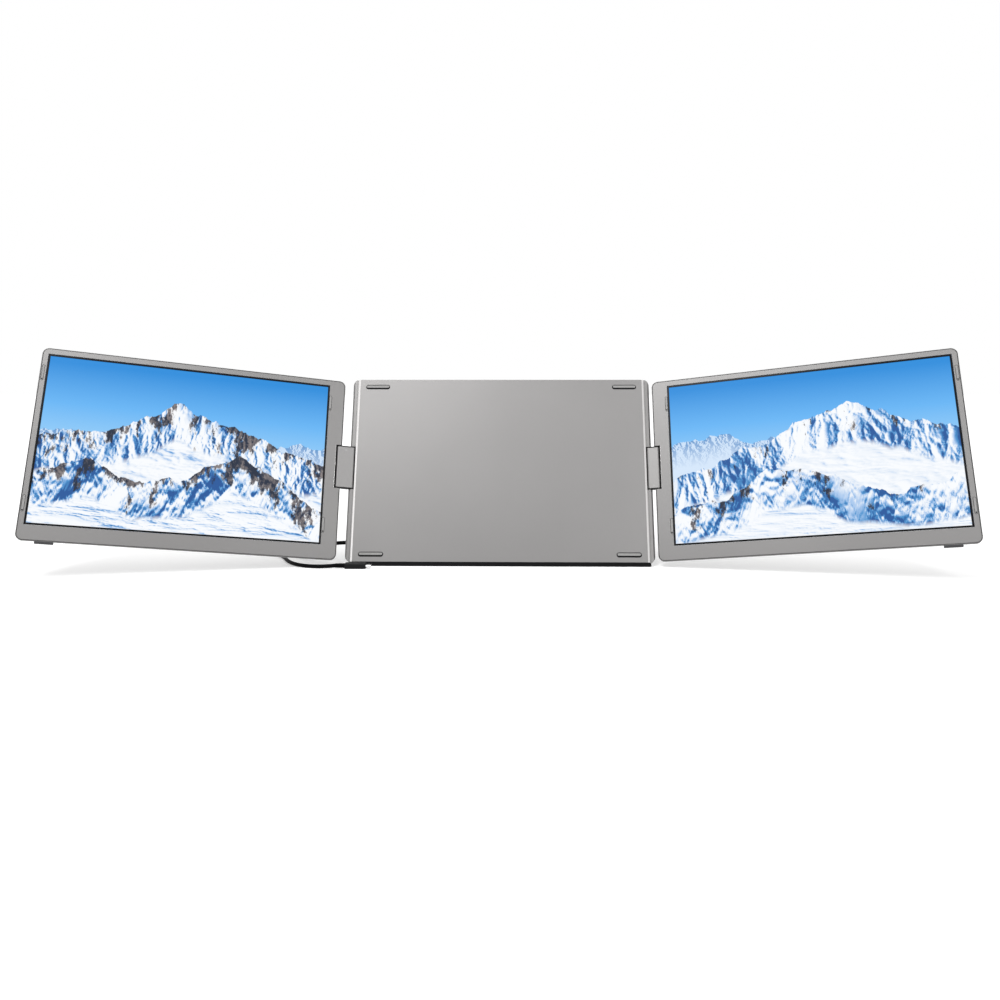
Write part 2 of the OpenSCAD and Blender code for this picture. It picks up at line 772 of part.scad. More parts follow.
module rear_cover(side) {
    tall = screen_t + past;
    color(dark_metal) at_screen(side) difference() {
        depth(frame_t, screen_t) screen_outline();
        difference() {
            depth(frame_t - past, cover_in)
                round_rect(inner_x + hinge_zone, outer_x - cover_side, low_z + chin_edge,
                    high_z - cover_side, screen_corner_r - cover_side);
            at_cover_screws() pin_along_y(boss_r, frame_t - 2 * past, screen_t);
        }
        screen_notch();
        pin_hole(pin_r + fixed_fit);
        at_cover_screws() {
            pin_along_y(screw_r + fixed_fit, frame_t - past, screen_t);
            pin_along_y(screw_head_r + set_gap, screen_t - screw_head_h, tall);
        }
        at_buttons([0, 1]) pin_along_y(button_r + seat_gap, cover_in - past, tall);
        translate([inner_x - past, screen_t, low_z]) rotate([45, 0, 0])
            translate([0, -underside_bevel, -underside_bevel / sqrt(2)])
                cube([outer_x - inner_x + 2 * past, 2 * underside_bevel, sqrt(2) * underside_bevel]);
    }
}

module foot_pad(side) {
    x1 = outer_x - foot_pad_in;
    y = (screen_t - underside_bevel + cover_wall) / 2;
    color(black) at_screen(side) translate([x1 - foot_pad_l / 2, y, low_z - foot_pad_h])
        linear_extrude(foot_pad_h) pill(foot_pad_l, foot_pad_w);
}

module bumpers(side) {
    color(metal) at_screen(side)
        for (x = [inner_x + bumper_hinge_in, outer_x - bumper_side_in], d = bumper_drop)
            translate([x, 0, high_z - d]) depth(-bumper_h, 0) rotate(90) pill(bumper_l, bumper_w);
}

module cover_screws(side) {
    color("#5a5a5c") at_screen(side) at_cover_screws() {
        pin_along_y(screw_r, frame_t / 2 + set_gap, screen_t - screw_head_h);
        pin_along_y(screw_head_r, screen_t - screw_head_h, screen_t - flush_in);
    }
}

module screen_pin(side) {
    color("#d8d8da") at_screen(side) pin_hole(pin_r);
}

// A button of the rear cover: 0 is power, 1 is menu
module button(side, which) {
    color(black) at_screen(side) at_buttons([which]) {
        pin_along_y(button_r + flange_w, cover_in - seat_gap - flange_t, cover_in - seat_gap);
        pin_along_y(button_r, cover_in - seat_gap - eps, screen_t - flush_in);
    }
}

module left_plate_pin() { plate_pin(LEFT); }
module right_plate_pin() { plate_pin(RIGHT); }
module hub_plug_tip() { at_hub_plug() plug_tip(); }
module hub_plug_grip() { at_hub_plug() plug_grip(); }
module hub_sleeve() { at_hub_plug() plug_sleeve(); }
module laptop_sleeve() { at_laptop_plug() plug_sleeve(); }
module laptop_plug_grip() { at_laptop_plug() plug_grip(); }
module laptop_plug_tip() { at_laptop_plug() plug_tip(); }
module left_hinge_block() { hinge_block(LEFT); }
module left_hinge_washers() { hinge_washers(LEFT); }
module left_grub_screw() { grub_screw(LEFT); }
module right_hinge_block() { hinge_block(RIGHT); }
module right_hinge_washers() { hinge_washers(RIGHT); }
module right_grub_screw() { grub_screw(RIGHT); }
module left_frame() { frame(LEFT); }
module left_border() { border(LEFT); }
module left_lcd() { lcd(LEFT); }
module left_backlight() { backlight(LEFT); }
module left_driver_board() { driver_board(LEFT); }
module left_rear_cover() { rear_cover(LEFT); }
module left_foot_pad() { foot_pad(LEFT); }
module left_bumpers() { bumpers(LEFT); }
module left_cover_screws() { cover_screws(LEFT); }
module left_screen_pin() { screen_pin(LEFT); }
module left_power_button() { button(LEFT, 0); }
module left_menu_button() { button(LEFT, 1); }
module right_frame() { frame(RIGHT); }
module right_border() { border(RIGHT); }
module right_lcd() { lcd(RIGHT); }
module right_backlight() { backlight(RIGHT); }
module right_driver_board() { driver_board(RIGHT); }
module right_rear_cover() { rear_cover(RIGHT); }
module right_foot_pad() { foot_pad(RIGHT); }
module right_bumpers() { bumpers(RIGHT); }
module right_cover_screws() { cover_screws(RIGHT); }
module right_screen_pin() { screen_pin(RIGHT); }
module right_power_button() { button(RIGHT, 0); }
module right_menu_button() { button(RIGHT, 1); }
front_panel();
rear_shell();
stiffener();
foot_strip();
front_pads();
shell_screws();
hub_board();
hub_ports();
left_plate_pin();
right_plate_pin();
stand_pins();
kickstand_panel();
kickstand_foot();
hub_plug_tip();
hub_plug_grip();
hub_sleeve();
lead();
laptop_sleeve();
laptop_plug_grip();
laptop_plug_tip();
left_hinge_block();
left_hinge_washers();
left_grub_screw();
right_hinge_block();
right_hinge_washers();
right_grub_screw();
left_frame();
left_border();
left_lcd();
left_backlight();
left_driver_board();
left_rear_cover();
left_foot_pad();
left_bumpers();
left_cover_screws();
left_screen_pin();
left_power_button();
left_menu_button();
right_frame();
right_border();
right_lcd();
right_backlight();
right_driver_board();
right_rear_cover();
right_foot_pad();
right_bumpers();
right_cover_screws();
right_screen_pin();
right_power_button();
right_menu_button();
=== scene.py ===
"""Laptop screen extender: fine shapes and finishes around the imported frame."""
import math

import bmesh
import bpy
from mathutils import Matrix, Vector


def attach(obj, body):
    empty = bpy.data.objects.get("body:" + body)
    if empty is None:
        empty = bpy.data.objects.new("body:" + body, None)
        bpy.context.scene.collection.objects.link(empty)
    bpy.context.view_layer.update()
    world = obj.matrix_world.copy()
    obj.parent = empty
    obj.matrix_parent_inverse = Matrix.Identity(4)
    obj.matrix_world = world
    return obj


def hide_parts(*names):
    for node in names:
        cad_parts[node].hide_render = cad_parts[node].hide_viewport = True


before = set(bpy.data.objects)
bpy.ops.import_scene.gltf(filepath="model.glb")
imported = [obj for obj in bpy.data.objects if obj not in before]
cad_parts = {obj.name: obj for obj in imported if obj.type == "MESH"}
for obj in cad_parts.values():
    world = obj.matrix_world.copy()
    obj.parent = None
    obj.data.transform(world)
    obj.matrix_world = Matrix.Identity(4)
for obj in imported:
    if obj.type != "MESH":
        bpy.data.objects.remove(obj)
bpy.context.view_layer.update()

MM = 0.001
LEFT, RIGHT = -1, 1
SIDE_NAME = {LEFT: "left", RIGHT: "right"}

# ---------------------------------------------------------------- sizes, in mm

LEAN = math.radians(22.6)
SWING = math.radians(17)
STAND_OPEN = math.radians(40)
FOOT_LIFT = 5.8

PLATE_W, PLATE_H = 392.0, 247.0
HALF_W = PLATE_W / 2
WING_T, PANEL_T = 9.0, 1.5
RIM_X = HALF_W - 5.8                # inner side of the edge beads
PANEL_X = RIM_X - 1.3               # the front panel's side, past the groove
PANEL_BEVEL_W, PANEL_BEVEL_D = 2.6, 1.0
BEAD_FRONT, BEAD_SLOPE, BEAD_ROUND, REAR_BEVEL = 0.6, 0.5, 2.2, 2.0
PLATE_CORNER = 8.0
CORE_W, CORE_T, CORE_LOW, CORE_HIGH, CORE_CORNER = 300.0, 16.0, 8.0, 235.0, 10.0
SHELL_WALL = 1.5
STRIP_IN, STRIP_W, STRIP_L = 0.5, 8.0, 382.0
STRIP_ROUND, STRIP_GROOVE, STRIP_GROOVE_D = 3.2, (2.6, 3.5), 0.5
VENT_FIRST, VENT_PITCH, VENTS_A_SIDE = 62, 4.5, 14
VENTS = [s * (VENT_FIRST + VENT_PITCH * n) for s in (LEFT, RIGHT) for n in range(VENTS_A_SIDE)]
VENT_Z, VENT_H, VENT_HALF_W, VENT_D = 213.0, 14.0, 0.8, 0.7
PAD_L, PAD_W, PAD_H = 31.0, 5.5, 0.7
PAD_SHADE_RIM, PAD_SHADOW_BAND = 0.7, 1.7      # black left bare round a pad's cap: painted shade, wider at the lower edge as a painted shadow
PAD_CAP_LOW, PAD_STEP = 0.2, 0.25       # a cap's underside, and how far its top stands out
PADS = [(s * (HALF_W - 33), z) for s in (LEFT, RIGHT) for z in (9.5, PLATE_H - 10.5)]
SEAT_GAP, SEAT_D = 0.45, 0.6            # recesses that the pads and bumpers sit in

PIN_R, PIN_DEPTH, PIN_INSET, PIN_REACH = 1.0, 2.8, 3.5, 8.0
PIN_X = HALF_W - PIN_INSET
BLOCK_T, BLOCK_H, WASHER_T, END_PLAY = 5.0, 54.4, 1.4, 0.4
BLOCK_R = BLOCK_T / 2
HINGE_LOW = 95.4
NOTCH_H = BLOCK_H + 2 * (WASHER_T + END_PLAY)
HINGE_HIGH = HINGE_LOW + NOTCH_H
HINGE_MIDDLE = (HINGE_LOW + HINGE_HIGH) / 2
PIN_PLAY, BLOCK_PIN_PLAY = 0.02, 0.05
GRUB_IN, GRUB_HOLE = 3.4, (0.92, 3.6)   # from the block's end; radius and length
BLOCK_LOW = HINGE_LOW + WASHER_T + END_PLAY
NOTCH_BACK = PIN_DEPTH + BLOCK_R + 0.3
PLATE_NOTCH_X = PIN_X - BLOCK_R - 1.0
FOLD_GAP, STACK_GAP, SCREEN_T = 5.6, 0.8, 6.2
LINK = {
    LEFT: 2 * PIN_DEPTH + FOLD_GAP + SCREEN_T + STACK_GAP,
    RIGHT: 2 * PIN_DEPTH + FOLD_GAP,
}

PICTURE_W, PICTURE_H = 336.0, 210.0
INNER_X = -PIN_INSET
PICTURE_X = INNER_X + 22.5
OUTER_X = PICTURE_X + PICTURE_W + 9.5
LOW_Z = 0.7
PICTURE_Z = LOW_Z + 21.5
HIGH_Z = PICTURE_Z + PICTURE_H + 10
BORDER_W = 2.4
FRAME_T, COVER_IN, SCREEN_CORNER = 1.6, 5.3, 8.0
COVER_SIDE, COVER_FLOOR, COVER_WALL, COVER_ROUND = 13, 3.5, 2, 6     # a cover's hollow
BOSS_R, BOSS_L = 2.0, 12
LCD_BACK, LCD_T, SET_GAP = 0.8, 1.6, 0.15
UNDERSIDE_BEVEL = 3.0
FOOT_PAD_X, FOOT_PAD_Y = OUTER_X - 31.2, 2.05
FOOT_PAD_L, FOOT_PAD_W, FOOT_PAD_H = 20.4, 3.6, 2.8
BUMPER_L, BUMPER_W, BUMPER_H = 19.5, 2.6, 0.4
DIMPLE_IN, DIMPLE, DIMPLE_BOX = 1.5, (0.85, 1.0), 0.9   # from a bumper's end; radius and length
BUMPERS = [(x, HIGH_Z - drop) for x in (INNER_X + 18.5, OUTER_X - 3.6) for drop in (32.5, 197.0)]
NOTCH_END = BLOCK_R + 1.6
RIM_W, RIM_GAP, RIM_BACK = 0.7, 0.4, 0.2       # the cover's rim round the front frame
COVER_SCREWS = [(x, z) for x in (INNER_X + 14, OUTER_X - 4.2) for z in (LOW_Z + 10, HIGH_Z - 4.2)]
BUTTONS = {"power": OUTER_X - 34, "menu": OUTER_X - 49}
BUTTON_Z, BUTTON_R, BUTTON_PLAY, BUTTON_TOP = LOW_Z + 11, 2.9, 0.2, 0.4
BUTTON_SUNK, BUTTON_GROW = 0.15, 0.1    # a cap against the cover's wall: its middle, its length
FLANGE_W, FLANGE_T, FLANGE_SUNK = 0.9, 0.5, 0.45

STAND_W, STAND_T, BARREL_R, BARREL_L, EAR_W = 234.0, 3.0, 2.0, 200.0, 8.0
STAND_HINGE_Z, STAND_HINGE_Y = 188.0, CORE_T - BARREL_R
POCKET_X, POCKET_Y, POCKET_TOP = STAND_W / 2 + 0.6, STAND_HINGE_Y - BARREL_R - 0.4, 190.5
POCKET_DOWN, POCKET_CORNER = 6, 3
EAR_GAP, EAR_DOWN, EAR_FRONT = 0.4, 3.5, 5
STAND_Y1 = BARREL_R - 0.3
STAND_Y0 = STAND_Y1 - STAND_T
STAND_CORNER, SHOULDER = 2.4, 5.2
NECK_OVERLAP, NECK_TOP, NECK_FRONT, NECK_BACK = 3, 0.5, 0.4, 0.05
SCOOP_R, SCOOP_L, SCOOP_D = 24, 44, 2   # the finger scoop at the panel's lower edge
STAND_FOOT_W, STAND_FOOT_T, STAND_FOOT_H = 220.0, 4.0, 6.0
FOOT_GROOVES, FOOT_GROOVE_H, FOOT_GROOVE_D = (2.2, 3.7), 0.7, 0.4
SHELL_SCREWS = [(x, z) for x in (-PANEL_X + 14, PANEL_X - 14)
                for z in (20, PLATE_H / 2, PLATE_H - 20)]
SCREW_HOLE, SCREW_HEAD = (1.85, 1.8), (1.7, 0.8)        # radius and length
SCREW_SUNK, SCREW_SIDES = 0.1, 28
SOCKET_SHARE, SOCKET_L = 0.5, 1.0

GRIP_L, GRIP_W, GRIP_T, SLEEVE_L, CORD_D = 26.0, 12.0, 7.0, 12.0, 4.9
CORD_R = CORD_D / 2
PORT_Y, PORT_Z, PORT_PITCH, PORT_W, PORT_H = WING_T + SET_GAP + GRIP_T / 2, 27.4, 18.0, 9.0, 3.2
PORT_PLAY = 0.1
PLUG_X, PLUG_Y = -192.0, -19.0
SLEEVE_WALL, SLEEVE_RIBS = 0.3, 5
RIB_END, GROOVE_START, GROOVE_END = 0.62, 0.66, 0.96    # shares of a rib's pitch

# how far the sharp edges of each piece are rounded
EDGE = {
    "panel": 0.3, "core": 2.2, "shell": 0.3, "strip": 0.25, "pad": 0.2, "screw": 0.15,
    "kickstand": 0.4, "scoop": 3, "kickstand_foot": 0.2, "block": 0.35, "frame": 0.4,
    "cover": 0.5, "bumper": 0.25, "foot_pad": 0.6, "button": 0.3, "grip": 1.9, "grip_ends": 0.5,
}
PAST, WELL_PAST = 2, 5              # how far a cutting shape reaches past what it cuts
OVERLAP = 1                         # the same, where another cut has gone before
HAIR, SLACK = 0.01, 0.02            # how near is near enough, for edges and for walls
MERGE = 1e-4                        # corners nearer than this become one

# ------------------------------------------------- frames of the moving pieces

FRONT_Y = -(STRIP_IN + STRIP_W / 2) * math.cos(LEAN)
PLATE = Matrix.Translation((0, FRONT_Y, FOOT_LIFT)) @ Matrix.Rotation(-LEAN, 4, "X")
STAND = (PLATE @ Matrix.Translation((0, STAND_HINGE_Y, STAND_HINGE_Z))
         @ Matrix.Rotation(STAND_OPEN, 4, "X"))
TABLE = Matrix.Identity(4)
HINGE_HEIGHT = (PLATE @ Vector((0, STAND_HINGE_Y, STAND_HINGE_Z))).z
STAND_REACH = HINGE_HEIGHT / math.cos(STAND_OPEN - LEAN)


def link_frame(side):
    """x from the plate's pin to the screen's pin, y back from the front face, z up."""
    mirror = Matrix.Scale(side, 4, (1, 0, 0))
    return (PLATE @ mirror @ Matrix.Translation((PIN_X, PIN_DEPTH, 0))
            @ Matrix.Rotation(-SWING, 4, "Z") @ Matrix.Translation((0, -PIN_DEPTH, 0)))


def screen_frame(side):
    """x outwards from the screen's pin."""
    return link_frame(side) @ Matrix.Translation((LINK[side], 0, 0))


def new_object(name, data):
    thing = bpy.data.objects.new(name, data)
    bpy.context.scene.collection.objects.link(thing)
    return thing


def as_mesh(name, bm):
    mesh = bpy.data.meshes.new(name)
    bm.to_mesh(mesh)
    bm.free()
    return mesh


# ---------------------------------------------------------- camera and the lead

CAMERA_AT = Vector((21.2, -1156.4, 222.6)) * MM
CAMERA_PITCH, CAMERA_YAW = math.radians(6.844), math.radians(-1.026)
FOCAL_PX, FRAME_PX, SENSOR = 930.9, 1000, 36.0


def make_camera():
    data = bpy.data.cameras.new("camera")
    data.sensor_width = SENSOR
    data.lens = FOCAL_PX / FRAME_PX * SENSOR
    camera = new_object("camera", data)
    camera.location = CAMERA_AT
    camera.rotation_euler = (math.pi / 2 - CAMERA_PITCH, 0, -CAMERA_YAW)
    bpy.context.scene.camera = camera


make_camera()

HUB_EXIT = PLATE @ Vector((-CORE_W / 2 - SET_GAP - GRIP_L - SLEEVE_L, PORT_Y, PORT_Z))
EXIT_Y, EXIT_Z = HUB_EXIT.y, HUB_EXIT.z
LIE = CORD_R                        # height of the lead's middle on the table
LEAD_ROUTE = [
    tuple(HUB_EXIT), (-196, EXIT_Y, EXIT_Z), (-208, 18.5, 25.5), (-221, 21, 23.5),
    (-234, 26, 20), (-246, 34, 15), (-256, 45, 9), (-262, 58, 4.5), (-265, 72, 2.6),
    (-266, 86, LIE), (-266, 100, LIE), (-268, 114, LIE), (-275, 127, LIE),
    (-287, 135, LIE), (-301, 137, LIE), (-315, 133, LIE), (-325, 123, LIE),
    (-330, 110, LIE), (-328, 96, LIE), (-320, 84, LIE), (-309, 74, LIE),
    (-298, 64, LIE), (-289, 52, LIE), (-282, 39, LIE), (-276, 25, LIE),
    (-269, 11, LIE), (-260, -2, LIE), (-249, -12, LIE), (-237, -18, LIE),
    (-225, -20, 2.5), (-214, -19.4, 2.8), (PLUG_X - SLEEVE_L, PLUG_Y, GRIP_T / 2),
]


def make_lead():
    data = bpy.data.curves.new("usb_lead", "CURVE")
    data.dimensions = "3D"
    data.bevel_depth = 1              # each knot's radius is the lead's
    data.bevel_resolution = 6
    data.resolution_u = 6
    data.use_fill_caps = True
    spline = data.splines.new("BEZIER")
    spline.bezier_points.add(len(LEAD_ROUTE) - 1)
    for knot, point in zip(spline.bezier_points, LEAD_ROUTE):
        knot.co = Vector(point) * MM
        knot.radius = CORD_R * MM
        knot.handle_left_type = knot.handle_right_type = "AUTO"
    return new_object("usb_lead", data)


usb_lead = make_lead()
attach(usb_lead, "root")
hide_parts("lead")

# -------------------------------------------------------------- material nodes


class Nodes:
    """A short way to write the node tree of a material or a world."""

    def __init__(self, owner, output="ShaderNodeOutputMaterial"):
        owner.use_nodes = True
        self.owner, self.tree = owner, owner.node_tree
        self.tree.nodes.clear()
        self.out = self.tree.nodes.new(output)

    def add(self, kind, inputs=(), out=0, **settings):
        node = self.tree.nodes.new(kind)
        for key, value in settings.items():
            setattr(node, key, value)
        for key, value in dict(inputs).items():
            self.feed(node.inputs[key], value)
        return node.outputs[out]

    def feed(self, socket, value):
        if isinstance(value, bpy.types.NodeSocket):
            self.tree.links.new(value, socket)
        else:
            socket.default_value = value

    def math(self, operation, a, b=0.0, clamp=False):
        return self.add("ShaderNodeMath", {0: a, 1: b}, operation=operation, use_clamp=clamp)

    def mix(self, factor, a, b):
        node = self.tree.nodes.new("ShaderNodeMix")
        node.data_type = "RGBA"
        for socket, value in ((node.inputs[0], factor), (node.inputs[6], a), (node.inputs[7], b)):
            self.feed(socket, value)
        return node.outputs[2]

    def ramp(self, factor, stops):
        node = self.tree.nodes.new("ShaderNodeValToRGB")
        self.feed(node.inputs[0], factor)
        ramp = node.color_ramp
        while len(ramp.elements) < len(stops):
            ramp.elements.new(0.5)
        for element, (place, colour) in zip(ramp.elements, stops):
            element.position = place
            element.color = colour if len(colour) == 4 else (*colour, 1)
        return node.outputs[0]

    def around(self, factor, tone, spread):
        """A tone that gets a little darker and lighter with the factor."""
        dark, light = (tuple(share * c for c in tone) for share in (1 - spread, 1 + spread))
        return self.ramp(factor, [(0.3, dark), (0.7, light)])

    def between(self, value, low, high):
        return self.add("ShaderNodeMapRange", {"Value": value, "To Min": low, "To Max": high})

    def noise(self, vector, scale, detail=2.0, roughness=0.5):
        return self.add("ShaderNodeTexNoise", {
            "Vector": vector, "Scale": scale, "Detail": detail, "Roughness": roughness})

    def object_point(self):
        return self.add("ShaderNodeTexCoord", out=3)

    def surface(self, bump=None, **inputs):
        node = self.tree.nodes.new("ShaderNodeBsdfPrincipled")
        for key, value in inputs.items():
            self.feed(node.inputs[key.replace("_", " ")], value)
        if bump is not None:
            self.feed(node.inputs["Normal"], bump)
        self.feed(self.out.inputs[0], node.outputs[0])

    def looked_at(self):
        """One for what a camera, glossy or transmission ray meets, else zero."""
        path = self.add("ShaderNodeLightPath").node
        seen = self.math("MAXIMUM", path.outputs["Is Camera Ray"], path.outputs["Is Glossy Ray"])
        return self.math("MAXIMUM", seen, path.outputs["Is Transmission Ray"])


def new_material(name):
    return Nodes(bpy.data.materials.new(name))


def grey(value):
    return (value, value, value, 1)


METAL_CLOUDS, METAL_GRAIN, CLOUD_SHARE = 9.0, 2600.0, 0.3
METAL_SPREAD, MOULDED_SPREAD = 0.07, 0.2        # how much the grain changes the tone
METALLIC = 0.75


def blasted_metal(name, tone, rough=(0.4, 0.5)):
    """Bead-blasted, anodised aluminium: a fine even grain, faint clouding."""
    n = new_material(name)
    point = n.object_point()
    cloud = n.noise(point, METAL_CLOUDS, 3.0)
    speck = n.noise(point, METAL_GRAIN, 2.0, 0.6)
    shade = n.math("ADD", n.math("MULTIPLY", cloud, CLOUD_SHARE),
                   n.math("MULTIPLY", speck, 1 - CLOUD_SHARE))
    warm = (tone * 1.02, tone, tone * 0.99)
    colour = n.around(shade, warm, METAL_SPREAD)
    roughness = n.between(speck, *rough)
    bump = n.add("ShaderNodeBump", {"Height": speck, "Strength": 0.06, "Distance": 0.00004})
    n.surface(bump, Base_Color=colour, Roughness=roughness, Metallic=METALLIC)
    return n.owner


def moulded(name, tone, rough=(0.45, 0.6), grain=1800.0, relief=0.00008, shine=0.3):
    """Moulded plastic or rubber with a fine spark-eroded grain."""
    n = new_material(name)
    point = n.object_point()
    speck = n.noise(point, grain, 3.0, 0.6)
    colour = n.around(speck, tone, MOULDED_SPREAD)
    roughness = n.between(speck, *rough)
    bump = n.add("ShaderNodeBump", {"Height": speck, "Strength": 0.35, "Distance": relief})
    n.surface(bump, Base_Color=colour, Roughness=roughness, Specular_IOR_Level=shine)
    return n.owner


def turned_steel(name, tone):
    """Steel with the fine lines that a lathe leaves."""
    n = new_material(name)
    point = n.object_point()
    stretched = n.add("ShaderNodeMapping", {"Vector": point, "Scale": (1, 1, 14)})
    lines = n.noise(stretched, 700.0, 3.0)
    colour = n.ramp(lines, [(0.35, grey(tone * 0.85)), (0.65, grey(tone * 1.1))])
    n.surface(Base_Color=colour, Roughness=n.between(lines, 0.22, 0.4), Metallic=1.0)
    return n.owner


def board_green(name):
    """Green solder mask over a pattern of copper tracks."""
    n = new_material(name)
    point = n.object_point()
    tracks = n.add("ShaderNodeTexBrick", {
        "Vector": point, "Scale": 260.0, "Mortar Size": 0.012,
        "Color1": (0.012, 0.11, 0.05, 1), "Color2": (0.014, 0.13, 0.06, 1),
        "Mortar": (0.05, 0.2, 0.07, 1)})
    n.surface(Base_Color=tracks, Roughness=n.between(n.noise(point, 500.0), 0.3, 0.45))
    return n.owner


# Outlines of the two landscapes: (share of the width, height of the crest)
LANDSCAPES = {
    LEFT: {
        "far": [(0.0, 0.55), (0.3, 0.58), (0.62, 0.6), (0.8, 0.57), (1.0, 0.6)],
        "crest": [(0.0, 0.52), (0.1, 0.55), (0.26, 0.6), (0.4, 0.72), (0.47, 0.79), (0.53, 0.73),
                  (0.62, 0.68), (0.74, 0.63), (0.88, 0.53), (1.0, 0.5)],
        "spur": [(0.0, 0.3), (0.18, 0.4), (0.34, 0.28), (0.52, 0.33), (0.68, 0.5), (0.8, 0.4),
                 (1.0, 0.18)],
        "rock": 0.47, "relief": 3.8, "ripple": 2.2, "seed": 3.7,
    },
    RIGHT: {
        "far": [(0.0, 0.62), (0.16, 0.66), (0.3, 0.6), (0.6, 0.58), (1.0, 0.57)],
        "crest": [(0.0, 0.4), (0.14, 0.47), (0.3, 0.56), (0.5, 0.7), (0.62, 0.79), (0.7, 0.76),
                  (0.84, 0.64), (1.0, 0.58)],
        "spur": [(0.0, 0.2), (0.2, 0.27), (0.36, 0.4), (0.46, 0.43), (0.6, 0.3), (0.8, 0.22),
                 (1.0, 0.3)],
        "rock": 0.54, "relief": 3.0, "ripple": 1.2, "seed": 11.3,
    },
}
SKY = [(0.45, (0.34, 0.65, 0.94)), (0.72, (0.135, 0.46, 0.9)), (0.97, (0.022, 0.265, 0.71))]
SNOW = [(0.0, (0.02, 0.1, 0.33)), (0.28, (0.07, 0.29, 0.62)), (0.5, (0.4, 0.58, 0.85)),
        (0.72, (0.8, 0.86, 0.94)), (1.0, (0.94, 0.96, 0.985))]
ROCK_LIT, ROCK_DARK = (0.25, 0.22, 0.215, 1), (0.02, 0.03, 0.055, 1)
FAR_LIT, FAR_DARK, HAZE = (0.6, 0.75, 0.93, 1), (0.12, 0.3, 0.6, 1), (0.66, 0.79, 0.95, 1)
FLANKS, SLOPE_LIGHT = 2.4, 0.64         # how much the flanks differ, and their mean light
ROCK_GRAIN, ROCK_DIM, ROCK_SPREAD = 3.4, 1.4, 0.7        # rock thins out down the slope
FIELD_DROP, FIELD_RIPPLE, FIELD_LIGHT, FIELD_SOFT = 0.2, 0.6, 0.88, 0.035
NEAR_DROP, NEAR_LIGHT, NEAR_SOFT = 0.21, 0.87, 0.03


